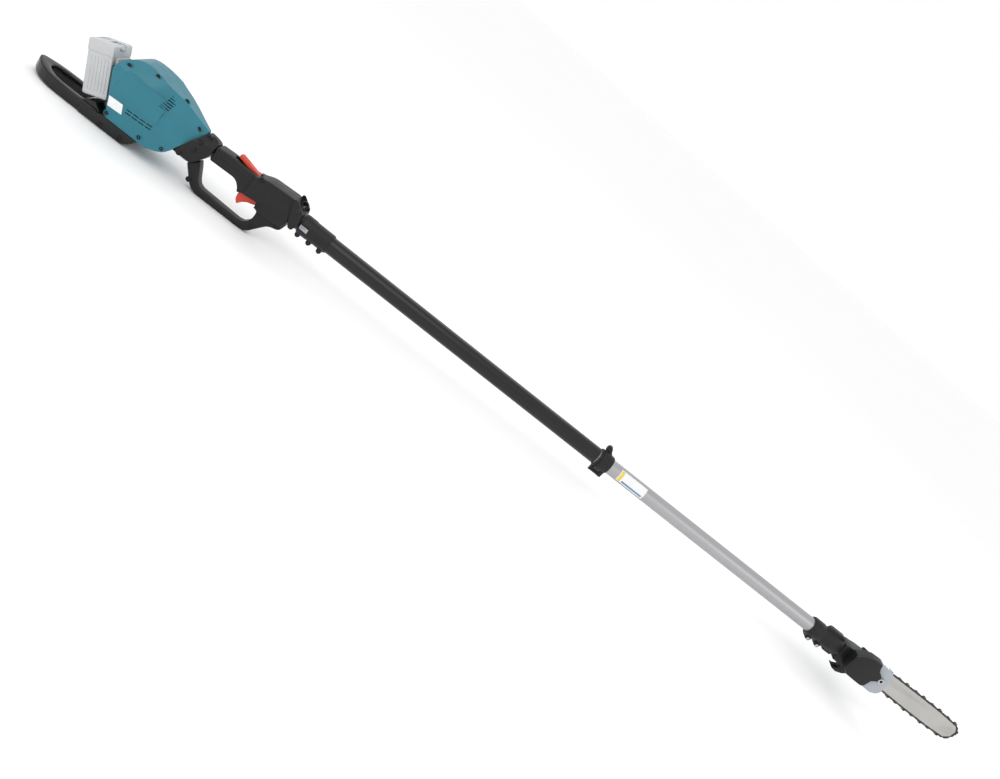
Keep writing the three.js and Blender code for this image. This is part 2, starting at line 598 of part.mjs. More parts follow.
// ---- telescoping pole ----------------------------------------------------------------------
add("outer_tube", ringX(OUTER_TUBE.r, OUTER_TUBE.bore, OUTER_TUBE.from, OUTER_TUBE.to, TUBE_SIDES), TUBE_BLACK);
add("inner_tube", ringX(INNER_TUBE.r, INNER_TUBE.bore, INNER_TUBE.from, INNER_TUBE.to, TUBE_SIDES), SILVER);
add("shaft_bush_rear", ringX(OUTER_TUBE.bore - GAP, REAR_SHAFT.r + FIT, -440, -400, TUBE_SIDES), RUBBER);
add("inner_tube_tail_bush", turnedX([
  [REAR_SHAFT.r + 1.5, -386], [OUTER_TUBE.bore - FIT, -386], [OUTER_TUBE.bore - FIT, -380 - GAP],
  [REAR_SHAFT.r + 1.5, -380 - GAP], [REAR_SHAFT.r + 1.5, -386],
], TUBE_SIDES), RUBBER);
add("drive_shaft_front", join(
  slabYZ(hexagon(FRONT_SHAFT.hex), FRONT_SHAFT.from, 1040),
  rodX(FRONT_SHAFT.end, 1035, FRONT_SHAFT.to),
), STEEL);
add("shaft_bush_front", turnedX([
  [6, 930], [INNER_TUBE.bore - GAP, 930], [INNER_TUBE.bore - GAP, 950], [6, 950], [6, 930],
], TUBE_SIDES), RUBBER);

// ---- pole lock -----------------------------------------------------------------------------
const COLLAR = { from: 278, to: 314 };
const LOCK_PIVOT = { y: -8, z: -29.5 };
const collarBody = cut(
  join(
    turnedX([
      [0, COLLAR.from], [23, COLLAR.from], [24, 281], [24, 300], [22.5, 313], [21.5, COLLAR.to], [0, COLLAR.to],
    ], TUBE_SIDES),
    slabYZ([[-2.4, -20], [-2.4, -33], [0, -36], [6, -36], [10, -32], [14, -20]], 285, 313, 1.5, 1),
    slabYZ([[-14, -18], [-12.5, -33], [-8, -35.5], [0, -35.5], [0, -18]], 302.4, 313, 1, 1),
    slabYZ([[-14, -18], [-12.5, -33], [-8, -35.5], [-3.5, -35.5], [-3.5, -18]], 278, 282.4, 1, 1),
  ),
  rodX(2.1, 270, 320, 16).translate(0, LOCK_PIVOT.y, LOCK_PIVOT.z),
  rodX(INNER_TUBE.r + 0.5, 270, 320, TUBE_SIDES),
  cut(rodX(22.1, 270, 279), rodX(10, 270, 279)),
);
add("lock_collar", collarBody, BLACK);
add("guide_bush", ringX(INNER_TUBE.r + 0.4, INNER_TUBE.r + FIT, 279, 312, TUBE_SIDES), RUBBER);

const arcPoints = (r, from, to, steps) => Array.from({ length: steps + 1 }, (_, i) => {
  const angle = THREE.MathUtils.degToRad(from + ((to - from) * i) / steps);
  return [r * Math.cos(angle), r * Math.sin(angle)];
});
const band = slabYZ([...arcPoints(24.7, 75, 248, 20), ...arcPoints(28, 248, 72, 20)], 283, 300, 0.8, 1);
const knuckle = rodX(5, 283, 301.8, 20).translate(0, LOCK_PIVOT.y, LOCK_PIVOT.z);
const ear = slabXZ([[281, 25], [279.5, 34], [282, 39.5], [287, 41.5], [292, 39.5], [296, 33], [299, 25]], -3, 7.5, 2);
const lockLever = cut(
  join(band, knuckle, ear),
  rodX(24.6, 270, 320, TUBE_SIDES),
  rodX(2.1 + 0.1, 270, 320, 16).translate(0, LOCK_PIVOT.y, LOCK_PIVOT.z),
);
add("lock_lever", lockLever, BLACK);
add("lock_lever_pin", rodX(2, 278.5, 312.5, 16).translate(0, LOCK_PIVOT.y, LOCK_PIVOT.z), STEEL);

// ---- head clamp ----------------------------------------------------------------------------
const clampLug = (x) => slabXZ([
  [x - 9, -20], [x - 8, -29], [x - 4, -32], [x + 4, -32], [x + 8, -29], [x + 9, -20],
], -13, 13, 2);
const headClamp = cut(
  join(
    turnedX([[0, 966], [23, 966], [24.5, 969], [24.5, 996], [23, 1000], [23, 1006], [25, 1010], [25, 1056], [22, 1062],
      [0, 1062]]),
    clampLug(982), clampLug(1012),
    slabXZ([[1004, 18], [1008, 29], [1013, 31.5], [1050, 31.5], [1056, 27], [1060, 18]], -10, 10, 3),
    slabXZ([[1022, -18], [1030, -27], [1054, -27], [1061.7, -18]], -13, 13, 3, 1),
  ),
  rodX(INNER_TUBE.r + GAP, 960, 1000 + GAP),
  rodX(9, 990, 1070),
  box(960, 1021, -1, 1, -40, -10),
  rodY(2.8, -20, 20, 982, -27, 12), rodY(2.8, -20, 20, 1012, -27, 12),
);
add("head_clamp", headClamp, BLACK);
[982, 1012].forEach((x, i) => {
  add(`head_clamp_screw_${i + 1}`, join(
    rodY(2.5, -14, 14, x, -27, 12), rodY(4.6, -17, -13.3, x, -27, 14), rodY(4.6, 13.3, 16.6, x, -27, 6),
  ), STEEL);
});

// ---- gear case with bevel gears and output shaft -------------------------------------------
const caseOutline = [
  [1062 + GAP, 22], [1070, 25], [1092, 26], [1150, 28], [1170, 24], [1174, 2], [1168, -18],
  [1150, -27], [1084, -27], [1070, -24], [1062 + GAP, -20],
];
const CASE_NEAR = -18;
const CASE_FAR = 24;
const gearCase = join(
  cut(
    join(slabXZ(caseOutline, CASE_NEAR, CASE_FAR, 3, 1), slabXZ([
      [1146, 2], [1146, 24], [1186, 24], [1186, 2]], BAR_PLANE + 1.1, CASE_NEAR + 4, 0)),
    slabXZ([[1088, 23], [1142, 23], [1146, 0], [1140, -23], [1088, -23]], -14, 21),
    rodX(11.3, 1050, 1090),
    rodY(5.3, -40, 0, SPROCKET_X, 0), rodY(11.3, -19, -13, SPROCKET_X, 0), rodY(11.3, 19, 27, SPROCKET_X, 0),
  ),
  rodY(4, -35, CASE_NEAR + 2, 1176, BAR_HEIGHT, 16),
);
add("gear_case", gearCase, BLACK);
add("input_bearing", ringX(11, FRONT_SHAFT.end + FIT, 1066, 1076), STEEL);
add("output_bearing_near", ringY(11, 5 + FIT, -17.8, -13.4, SPROCKET_X, 0), STEEL);
add("output_bearing_far", ringY(11, 5 + FIT, 19.5, 23.7, SPROCKET_X, 0), STEEL);

const PINION_TEETH = 12;
const CROWN_TEETH = 18;
const GEAR_MODULE = 1.9;
const FACE_WIDTH = 6;

// Straight bevel gear on the Z axis: its back face at height zero, its apex at height `apex`.
function bevelGear(teeth, otherTeeth, bore, turn) {
  const pitch = (teeth * GEAR_MODULE) / 2;
  const apex = (otherTeeth * GEAR_MODULE) / 2;
  const points = [];
  for (let i = 0; i < teeth; i += 1) {
    const middle = turn + (i * 2 * Math.PI) / teeth;
    const step = (2 * Math.PI) / teeth;
    for (const [r, share] of [[-1.2, -0.32], [0.75, -0.13], [0.75, 0.13], [-1.2, 0.32]]) {
      const reach = pitch + r * GEAR_MODULE;
      points.push([reach * Math.cos(middle + share * step), reach * Math.sin(middle + share * step)]);
    }
  }
  const shape = shapeOf(points);
  shape.holes.push(new THREE.Path(polygon(24, bore).map(([x, y]) => new THREE.Vector2(x, y))));
  const length = FACE_WIDTH * (apex / Math.hypot(pitch, apex));
  const geometry = extrude(shape, length, 0, 1);
  const position = geometry.attributes.position;
  for (let i = 0; i < position.count; i += 1) {
    const x = position.getX(i);
    const y = position.getY(i);
    const radius = Math.hypot(x, y);
    if (radius > bore + 0.2) {
      const shrink = 1 - position.getZ(i) / apex;
      position.setXYZ(i, x * shrink, y * shrink, position.getZ(i));
    }
  }
  return geometry;
}
const pinionApex = (CROWN_TEETH * GEAR_MODULE) / 2;
const crownApex = (PINION_TEETH * GEAR_MODULE) / 2;
const pinion = join(
  bevelGear(PINION_TEETH, CROWN_TEETH, FRONT_SHAFT.end + GAP, 0),
  turnedZ([[5.2, -6], [8.5, -6], [8.5, 0.5], [5.2, 0.5], [5.2, -6]], 0, 0),
);
const pinionMesh = add("bevel_pinion", pinion, STEEL);
pinionMesh.position.set(SPROCKET_X - pinionApex, 0, 0);
pinionMesh.rotation.y = Math.PI / 2;
const crown = bevelGear(CROWN_TEETH, PINION_TEETH, 5 + GAP, Math.PI / CROWN_TEETH);
const crownMesh = add("bevel_gear", crown, STEEL);
crownMesh.position.set(SPROCKET_X, crownApex, 0);
crownMesh.rotation.x = Math.PI / 2;

add("output_shaft", rodY(5, BAR_PLANE - 9, 23.4, SPROCKET_X, 0, 24), STEEL);
const sprocketShape = shapeOf(Array.from({ length: 14 }, (_, i) => {
  const angle = (i * Math.PI) / 7;
  const r = i % 2 ? 14.4 : 11;
  return [r * Math.cos(angle), r * Math.sin(angle)];
}));
sprocketShape.holes.push(new THREE.Path(polygon(24, 5 + GAP).map(([x, y]) => new THREE.Vector2(x, y))));
const sprocketMesh = add("drive_sprocket", extrude(sprocketShape, 5, 0, 1), STEEL);
sprocketMesh.position.set(SPROCKET_X, BAR_PLANE + 2.5, 0);
sprocketMesh.rotation.x = Math.PI / 2;

// ---- guide bar and chain -------------------------------------------------------------------
const NOSE = { x: 1418, r: 22.5 };
const halfBar = [[1150, 12], [1162, 16.4], [1183, 23], [1300, 24.6], [1370, 24.2]];
const noseArc = arcPoints(NOSE.r, 72, -72, 12).map(([x, z]) => [x + NOSE.x, z + BAR_HEIGHT]);
const barOutline = [
  ...halfBar.map(([x, z]) => [x, BAR_HEIGHT + z]),
  ...noseArc,
  ...[...halfBar].reverse().map(([x, z]) => [x, BAR_HEIGHT - z]),
];
const guideBar = cut(
  slabXZ(barOutline, BAR_PLANE - 0.75, BAR_PLANE + 0.75),
  box(1169, 1190, -40, 0, BAR_HEIGHT - 4.4, BAR_HEIGHT + 4.4),
);
add("guide_bar", guideBar, BAR_STEEL);

const sprocketArc = arcPoints(16.2, 250, 110, 10).map(([x, z]) => [x + SPROCKET_X, z]);
const chainLine = [
  ...sprocketArc,
  ...halfBar.slice(2).map(([x, z]) => [x, BAR_HEIGHT + z + 0.4]),
  ...arcPoints(NOSE.r + 0.4, 72, -72, 12).map(([x, z]) => [x + NOSE.x, z + BAR_HEIGHT]),
  ...halfBar.slice(2).reverse().map(([x, z]) => [x, BAR_HEIGHT - z - 0.4]),
];
const chainLoop = cut(
  slabXZ(insetPath(clockwise(chainLine), 4.4), BAR_PLANE - 2, BAR_PLANE + 2),
  slabXZ(chainLine, BAR_PLANE - 5, BAR_PLANE + 5),
);
const chainTeeth = [];
const chainCurve = new THREE.CurvePath();
const outerLine = insetPath(clockwise(chainLine), 4);
outerLine.forEach((point, i) => {
  const next = outerLine[(i + 1) % outerLine.length];
  chainCurve.add(new THREE.LineCurve(new THREE.Vector2(...point), new THREE.Vector2(...next)));
});
const CUTTERS = 18;
for (let i = 0; i < CUTTERS; i += 1) {
  const at = (i + 0.5) / CUTTERS;
  const point = chainCurve.getPointAt(at);
  const along = chainCurve.getTangentAt(at);
  const tooth = new THREE.BoxGeometry(9, 5, 5.4).translate(0, i % 2 ? 0.7 : -0.7, 0);
  tooth.rotateY(-Math.atan2(along.y, along.x));
  chainTeeth.push(tooth.translate(point.x, BAR_PLANE, point.y));
}
add("saw_chain", join(chainLoop, ...chainTeeth), DARK);

// ---- covers, nut, oil tank, hook -----------------------------------------------------------
const coverOutline = [
  [1085, 29], [1098, 41], [1120, 49], [1158, 50.5], [1188, 46], [1197, 38], [1204, -8], [1202, -16],
  [1196, -23], [1184, -28], [1126, -27], [1100, -24], [1085, -14],
];
const coverInside = [
  [1088, 28], [1100, 38.5], [1121, 46.3], [1158, 47.8], [1230, 43], [1230, -20], [1194, -20.5], [1183, -25.4],
  [1126, -24.4], [1101, -21.4], [1088, -12.5],
];
const coverShell = cut(
  slabXZ(coverOutline, -43, -18.4, 3),
  slabXZ(coverInside, -40, 0),
  box(1152, 1182, -36, -16, 44, 60),
  rodY(8.6, -60, -30, 1176, BAR_HEIGHT),
);
add("sprocket_cover", coverShell, COVER_GREY);
add("bar_nut", cut(rodY(8, -49, -35.5, 1176, BAR_HEIGHT, 6), rodY(4.3, -46, -30, 1176, BAR_HEIGHT, 16)), STEEL);
const capOutline = [
  [1081, 27], [1096, 41], [1120, 50], [1144, 50.5], [1148, 40], [1153, 33], [1167, 25], [1170, 11], [1157, 0],
  [1154, -20], [1147, -26], [1126, -26], [1098, -25], [1081, -14],
];
const headCover = cut(
  slabXZ(capOutline, -51, -43 - GAP, 3),
  slabXZ(inward(capOutline, 4), -48.4, -40),
  rodY(9.4, -60, -40, 1176, BAR_HEIGHT),
);
add("head_cover", headCover, BLACK);

const tankOutline = [
  [1086, 10], [1097, 17], [1114, 20], [1142, 20.5], [1160, 18], [1171, 11], [1174, 0], [1166, -20],
  [1148, -27], [1104, -28], [1086, -18],
];
const tankShell = cut(
  slabXZ(tankOutline, CASE_FAR + GAP, 50, 8, 2),
  slabXZ(inward(tankOutline, 3), CASE_FAR + 3, 47, 6, 1),
  rodZ(7, 5, 50, 1146, 36.5),
);
add("oil_tank", tankShell, TEAL);
add("oil_cap", join(
  turnedZ([
    [0, 13], [6.6, 13], [6.6, 20.9], [10, 20.9], [10.6, 22], [10.6, 25], [9.4, 26.4], [0, 26.4],
  ], 1146, 36.5),
  box(1137, 1155, 35.1, 37.9, 25, 28),
), BLACK);

const hookOutline = [
  [1072, -27.4], [1098, -27.4], [1106, -28.4], [1132, -28.4], [1132, -36], [1120, -47], [1104, -53],
  [1090, -51], [1082, -46.5], [1092, -45], [1100, -41], [1103, -36], [1098, -31.6], [1072, -30.6],
];
add("branch_hook", slabXZ(hookOutline, -9, 13, 1, 1), BLACK);

export default saw;
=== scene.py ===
"""Visible pieces, finishes, floor, lights and camera of a telescoping battery pole saw.

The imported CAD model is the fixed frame. Lengths in the piece lists are millimetres from the pole's own
origin: X runs along the pole axis to the saw tip, Z points up and the sprocket cover faces -Y.
"""

import json
import math

import bmesh
import bpy
from bpy.props import FloatProperty, FloatVectorProperty, IntProperty, PointerProperty
from mathutils import Matrix, Vector

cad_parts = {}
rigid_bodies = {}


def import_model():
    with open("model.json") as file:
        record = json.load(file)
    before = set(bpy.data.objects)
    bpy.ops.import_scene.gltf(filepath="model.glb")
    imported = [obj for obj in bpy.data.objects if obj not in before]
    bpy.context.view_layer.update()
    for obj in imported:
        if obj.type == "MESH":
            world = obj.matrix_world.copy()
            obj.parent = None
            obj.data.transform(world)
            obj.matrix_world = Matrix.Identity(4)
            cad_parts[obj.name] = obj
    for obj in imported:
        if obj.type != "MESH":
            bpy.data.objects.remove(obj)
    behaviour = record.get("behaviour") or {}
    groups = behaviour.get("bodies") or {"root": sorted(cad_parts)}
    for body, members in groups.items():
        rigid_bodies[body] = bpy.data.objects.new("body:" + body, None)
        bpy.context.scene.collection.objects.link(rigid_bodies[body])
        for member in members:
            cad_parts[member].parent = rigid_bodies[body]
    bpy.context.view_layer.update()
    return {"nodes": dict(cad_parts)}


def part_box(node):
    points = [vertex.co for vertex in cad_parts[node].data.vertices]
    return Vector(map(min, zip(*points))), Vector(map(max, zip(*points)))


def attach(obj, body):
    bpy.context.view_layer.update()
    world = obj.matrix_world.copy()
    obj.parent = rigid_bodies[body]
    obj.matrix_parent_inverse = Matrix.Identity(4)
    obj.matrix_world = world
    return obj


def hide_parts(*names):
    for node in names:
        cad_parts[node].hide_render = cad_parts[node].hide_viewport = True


bl_info = {
    "name": "Pole saw",
    "version": (1, 0, 0),
    "blender": (4, 5, 0),
    "location": "View3D > Sidebar > Pole saw",
    "description": "Models the visible pieces of a telescoping pole saw round its packed frame",
    "category": "Object",
}

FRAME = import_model()
MM = 0.001
TUBE_REAR_END = -585.0
TUBE_LOW, TUBE_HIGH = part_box("outer_tube")
POLE = Vector((
    TUBE_LOW.x - TUBE_REAR_END * MM,
    (TUBE_LOW.y + TUBE_HIGH.y) / 2,
    (TUBE_LOW.z + TUBE_HIGH.z) / 2,
))
AXES = {"x": Vector((1, 0, 0)), "y": Vector((0, 1, 0)), "z": Vector((0, 0, 1))}


# ---- sizes and colours ----------------------------------------------------------------------

def colour(label, about, value):
    """A colour property of the saw."""
    return FloatVectorProperty(name=label, description=about, default=value, subtype="COLOR",
                               size=3, min=0.0, max=1.0)


def length(label, about, value):
    """A length property of the saw, in metres."""
    return FloatProperty(name=label, description=about, default=value, unit="LENGTH",
                         subtype="DISTANCE", min=0.0)


class PoleSawColours(bpy.types.PropertyGroup):
    """Colours of the saw's finishes."""

    teal: colour("Teal", "Motor housing and oil tank mouldings", (0.018, 0.165, 0.220))
    black: colour("Black", "Handle, neck, clamps and gear case mouldings", (0.0085, 0.0085, 0.0095))
    gloss_black: colour("Gloss black", "Rear guard loop", (0.006, 0.006, 0.0065))
    red: colour("Red", "Trigger and lock-off lever", (0.58, 0.055, 0.028))
    pale: colour("Pale grey", "Battery mouldings", (0.50, 0.51, 0.52))
    cover: colour("Cover grey", "Sprocket cover", (0.36, 0.38, 0.42))
    silver: colour("Silver", "Inner tube", (0.38, 0.38, 0.39))
    bar: colour("Bar steel", "Guide bar", (0.46, 0.45, 0.43))
    label: colour("Label", "Blank labels", (0.80, 0.81, 0.81))
    floor: colour("Floor", "Studio floor", (0.985, 0.985, 0.985))


class PoleSawSizes(bpy.types.PropertyGroup):
    """Sizes of the saw's small details."""

    screw_head: length("Screw head", "Diameter of the housing screws' heads", 0.0088)
    screw_hole: length("Screw hole", "Diameter of the recesses that the housing screws sit in", 0.0098)
    chain_pitch: length("Chain pitch", "Distance between neighbouring chain rivets", 0.00952)
    turned_steps: IntProperty(name="Turned steps", description="Facets of a turned piece",
                              default=72, min=24, max=256)


def colours():
    return bpy.context.scene.pole_saw_colours


def sizes():
    return bpy.context.scene.pole_saw_sizes


# ---- modelling by hand ----------------------------------------------------------------------

def at(x, y, z):
    """A point given in millimetres from the pole's origin, in the frame's metres."""
    return POLE + Vector((x, y, z)) * MM


def deselect():
    if bpy.context.mode != "OBJECT":
        bpy.ops.object.mode_set(mode="OBJECT")
    bpy.ops.object.select_all(action="DESELECT")


def only(obj):
    """Makes obj the one selected and active object."""
    deselect()
    obj.select_set(True)
    bpy.context.view_layer.objects.active = obj
    return obj


def edit(obj):
    only(obj)
    bpy.ops.object.mode_set(mode="EDIT")


def leave(obj):
    bpy.ops.object.mode_set(mode="OBJECT")
    return obj


def pick(obj, kind, test):
    """In edit mode, selects only the verts, edges or faces that pass a test, and says how many."""
    mesh = bmesh.from_edit_mesh(obj.data)
    bpy.ops.mesh.select_mode(type={"verts": "VERT", "edges": "EDGE", "faces": "FACE"}[kind])
    bpy.ops.mesh.select_all(action="DESELECT")
    found = 0
    for part in getattr(mesh, kind):
        if test(part):
            part.select_set(True)
            found += 1
    mesh.select_flush(True)
    bmesh.update_edit_mesh(obj.data)
    return found


def middle(edge):
    """The middle of an edge, in millimetres from the pole's origin."""
    return ((edge.verts[0].co + edge.verts[1].co) / 2 - POLE) / MM


def trace(name, points, closed=True):
    """A wire or face drawn vertex by vertex through points, left in edit mode with all of it selected."""
    deselect()
    bpy.ops.mesh.primitive_plane_add(size=MM, location=points[0])
    obj = bpy.context.object
    obj.name = name
    bpy.ops.object.transform_apply(location=True, rotation=True, scale=True)
    bpy.ops.object.mode_set(mode="EDIT")
    bpy.ops.mesh.select_mode(type="VERT")
    bpy.ops.mesh.select_all(action="SELECT")
    bpy.ops.mesh.merge(type="CENTER")
    for here, there in zip(points, points[1:]):
        bpy.ops.mesh.extrude_region_move(
            TRANSFORM_OT_translate={"value": there - here, "orient_type": "GLOBAL"})
    bpy.ops.mesh.select_all(action="SELECT")
    if closed:
        bpy.ops.mesh.edge_face_add()
    return obj


def outward():
    """In edit mode, merges doubles and turns every face outwards."""
    bpy.ops.mesh.select_all(action="SELECT")
    bpy.ops.mesh.remove_doubles(threshold=1e-6)
    bpy.ops.mesh.normals_make_consistent(inside=False)


def soften(points, reach):
    """An outline with its corners rounded over at most reach."""
    rounded = []
    count = len(points)
    for i, point in enumerate(points):
        corner = Vector(point)
        before = Vector(points[i - 1]) - corner
        after = Vector(points[(i + 1) % count]) - corner
        turn = math.pi - before.angle(after)
        if turn < math.radians(4):
            rounded.append(corner)
            continue
        cut = min(reach, 0.46 * before.length, 0.46 * after.length)
        start, end = corner + before.normalized() * cut, corner + after.normalized() * cut
        steps = max(2, math.ceil(math.degrees(turn) / 11))
        for step in range(steps + 1):
            t = step / steps
            rounded.append(start * (1 - t) ** 2 + corner * 2 * t * (1 - t) + end * t * t)
    return rounded


def place(axis, a, b, depth):
    """A point of an outline drawn in the two other axes, at a depth along axis."""
    return {"x": at(depth, a, b), "y": at(a, depth, b), "z": at(a, b, depth)}[axis]


def slab(name, outline, low, high, axis="y", rim=0.0, segments=3, ends="both"):
    """An outline made solid between two depths along an axis, with its rims rounded."""
    obj = trace(name, [place(axis, p[0], p[1], low) for p in outline])
    bpy.ops.mesh.extrude_region_move(
        TRANSFORM_OT_translate={"value": AXES[axis] * (high - low) * MM, "orient_type": "GLOBAL"})
    outward()
    if rim:
        index = "xyz".index(axis)
        levels = {"both": (low, high), "low": (low,), "high": (high,)}[ends]

        def on_rim(edge):
            a, b = [(v.co[index] - POLE[index]) / MM for v in edge.verts]
            return any(abs(a - level) < 1e-3 and abs(b - level) < 1e-3 for level in levels)

        pick(obj, "edges", on_rim)
        bpy.ops.mesh.bevel(offset=rim * MM, segments=segments, profile=0.5, affect="EDGES",
                           clamp_overlap=True)
    return leave(obj)


def block(name, x0, x1, y0, y1, z0, z1, rim=0.0, segments=3):
    """A box between two corners, its edges rounded."""
    deselect()
    bpy.ops.mesh.primitive_cube_add(size=1, location=at((x0 + x1) / 2, (y0 + y1) / 2, (z0 + z1) / 2))
    obj = bpy.context.object
    obj.name = name
    bpy.ops.object.mode_set(mode="EDIT")
    bpy.ops.transform.resize(value=((x1 - x0) * MM, (y1 - y0) * MM, (z1 - z0) * MM))
    if rim:
        bpy.ops.mesh.bevel(offset=rim * MM, segments=segments, affect="EDGES")
    leave(obj)
    bpy.ops.object.transform_apply(location=True, rotation=True, scale=True)
    return obj


def turned(name, profile, axis="x", centre=(0, 0, 0), steps=None, closed=True):
    """A profile of (radius, position) pairs spun round an axis through centre."""
    side = {"x": AXES["z"], "y": AXES["x"], "z": AXES["x"]}[axis]
    middle_point = at(*centre)
    points = [middle_point + AXES[axis] * s * MM + side * r * MM for r, s in profile]
    if closed:
        points.append(points[0])
    obj = trace(name, points, closed=False)
    bpy.ops.mesh.remove_doubles(threshold=1e-7)
    bpy.ops.mesh.spin(steps=steps or sizes().turned_steps, angle=2 * math.pi, center=middle_point,
                      axis=AXES[axis])
    outward()
    return leave(obj)


def turn(obj, angle, axis, centre):
    """Turns a whole mesh by an angle in degrees about an axis through a point."""
    edit(obj)
    bpy.ops.mesh.select_all(action="SELECT")
    bpy.ops.transform.rotate(value=-math.radians(angle), orient_axis=axis.upper(), orient_type="GLOBAL",
                             center_override=at(*centre))
    return leave(obj)


def shift(obj, x, y, z):
    """Moves a whole mesh by millimetres."""
    edit(obj)
    bpy.ops.mesh.select_all(action="SELECT")
    bpy.ops.transform.translate(value=Vector((x, y, z)) * MM, orient_type="GLOBAL")
    return leave(obj)


def with_modifier(obj, kind, **settings):
    """Adds a modifier to obj with its settings and applies it."""
    only(obj)
    modifier = obj.modifiers.new(kind.title(), kind)
    for key, value in settings.items():
        setattr(modifier, key, value)
    bpy.ops.object.modifier_apply(modifier=modifier.name)
    return obj


def carve(obj, *cutters, operation="DIFFERENCE"):
    """Cuts the cutters out of obj, or joins them to it, and removes them."""
    for cutter in cutters:
        with_modifier(obj, "BOOLEAN", operation=operation, object=cutter, solver="EXACT")
        bpy.data.objects.remove(cutter)
    return obj


def merge(obj, *others):
    """Joins whole objects into obj without a boolean."""
    only(obj)
    for other in others:
        other.select_set(True)
    bpy.ops.object.join()
    return obj


def twin(obj, name):
    """A copy of obj with its own mesh."""
    only(obj)
    bpy.ops.object.duplicate()
    copy = bpy.context.object
    copy.name = name
    return copy


def trim(obj, point, normal):
    """Cuts away what lies beyond a plane on the side that its normal points to."""
    facing = Vector(normal).normalized()
    deselect()
    bpy.ops.mesh.primitive_cube_add(size=2.0, location=at(*point) + facing,
                                    rotation=facing.to_track_quat("Z", "Y").to_euler())
    beyond = bpy.context.object
    bpy.ops.object.transform_apply(location=True, rotation=True, scale=True)
    return carve(obj, beyond)


def sliced(obj, point, normal):
    """Cuts a plain closed form along a plane, keeps the side away from the normal and closes the cut."""
    edit(obj)
    bpy.ops.mesh.select_all(action="SELECT")
    bpy.ops.mesh.bisect(plane_co=at(*point), plane_no=normal, use_fill=True, clear_outer=True,
                        threshold=1e-6)
    return leave(obj)


def finished(obj, body, slot, material, replaces=(), smooth=35):
    """Shades a piece, gives it its finish and body, and hides the CAD nodes it stands for."""
    only(obj)
    bpy.ops.object.transform_apply(location=True, rotation=True, scale=True)
    bpy.ops.object.shade_smooth_by_angle(angle=math.radians(smooth))
    if material.name not in obj.data.materials:
        obj.data.materials.clear()
        obj.data.materials.append(material)
    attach(obj, body)
    if replaces:
        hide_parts(*replaces)
    return obj


# ---- finishes -------------------------------------------------------------------------------

class Finish:
    """A material's node tree, built from small steps."""

    def __init__(self, name):
        self.material = bpy.data.materials.new(name)
        self.material.use_nodes = True
        self.nodes = self.material.node_tree.nodes
        self.links = self.material.node_tree.links
        self.shader = self.nodes["Principled BSDF"]
        self.place = self.add("ShaderNodeTexCoord").outputs["Object"]

    def add(self, kind, **settings):
        node = self.nodes.new(kind)
        for key, value in settings.items():
            setattr(node, key, value)
        return node

    def link(self, source, target):
        self.links.new(source, target)

    def set(self, **values):
        for key, value in values.items():
            self.shader.inputs[key.replace("_", " ")].default_value = value
        return self

    def stretched(self, scale):
        """Object coordinates scaled differently along each axis."""
        mapping = self.add("ShaderNodeMapping")
        mapping.inputs["Scale"].default_value = scale
        self.link(self.place, mapping.inputs["Vector"])
        return mapping.outputs["Vector"]

    def noise(self, scale, detail=3.0, place=None, roughness=0.55):
        node = self.add("ShaderNodeTexNoise")
        node.inputs["Scale"].default_value = scale
        node.inputs["Detail"].default_value = detail
        node.inputs["Roughness"].default_value = roughness
        self.link(place or self.place, node.inputs["Vector"])
        return node.outputs["Fac"]

    def ramp(self, source, low, high, to_low=0.0, to_high=1.0):
        """Maps the range low to high of a value onto another range, clamped."""
        node = self.add("ShaderNodeMapRange")
        for key, value in (("From Min", low), ("From Max", high), ("To Min", to_low), ("To Max", to_high)):
            node.inputs[key].default_value = value
        self.link(source, node.inputs["Value"])
        return node.outputs["Result"]

    def edges(self, low=0.515, high=0.56):
        """About 1 on outer edges, where rubbed wear and a painted highlight go, and 0 elsewhere."""
        return self.ramp(self.add("ShaderNodeNewGeometry").outputs["Pointiness"], low, high)

    def times(self, a, b):
        node = self.add("ShaderNodeMath", operation="MULTIPLY")
        for socket, value in zip(node.inputs, (a, b)):
            if isinstance(value, float):
                socket.default_value = value
            else:
                self.link(value, socket)
        return node.outputs["Value"]

    def mix(self, factor, a, b):
        """A colour between a and b; each may be a colour or a socket."""
        node = self.add("ShaderNodeMix", data_type="RGBA")
        for socket, value in ((node.inputs[0], factor), (node.inputs[6], a), (node.inputs[7], b)):
            if isinstance(value, float):
                socket.default_value = value
            elif isinstance(value, tuple):
                socket.default_value = (*value[:3], 1.0)
            else:
                self.link(value, socket)
        return node.outputs[2]

    def paint(self, source):
        self.link(source, self.shader.inputs["Base Color"])
        return self

    def gloss(self, source):
        self.link(source, self.shader.inputs["Roughness"])
        return self

    def bump(self, height, strength=0.2, distance=0.0003):
        node = self.add("ShaderNodeBump")
        node.inputs["Strength"].default_value = strength
        node.inputs["Distance"].default_value = distance
        self.link(height, node.inputs["Height"])
        self.link(node.outputs["Normal"], self.shader.inputs["Normal"])
        return self


MADE = {}


def shade(tint, share):
    """A colour made darker or lighter by a share."""
    return tuple(min(1.0, max(0.0, value * share)) for value in tint)


def moulded(name, tint, rough=0.42, grain=2600.0, depth=0.12, coat=0.0, glint=0.5):
    """Moulded plastic: spark-eroded grain, faint blotches and an uneven sheen."""
    if name in MADE:
        return MADE[name]
    tint = tuple(tint)
    f = Finish(name)
    blotch = f.ramp(f.noise(22.0, 4.0), 0.35, 0.65)
    f.paint(f.mix(blotch, shade(tint, 0.96), shade(tint, 1.04)))
    f.gloss(f.ramp(f.noise(60.0, 5.0), 0.3, 0.7, rough - 0.05, rough + 0.07))
    f.bump(f.noise(grain, 2.0), depth, 0.00025)
    f.set(IOR=1.5, Specular_IOR_Level=glint, Coat_Weight=coat, Coat_Roughness=0.12)
    MADE[name] = f.material
    return f.material


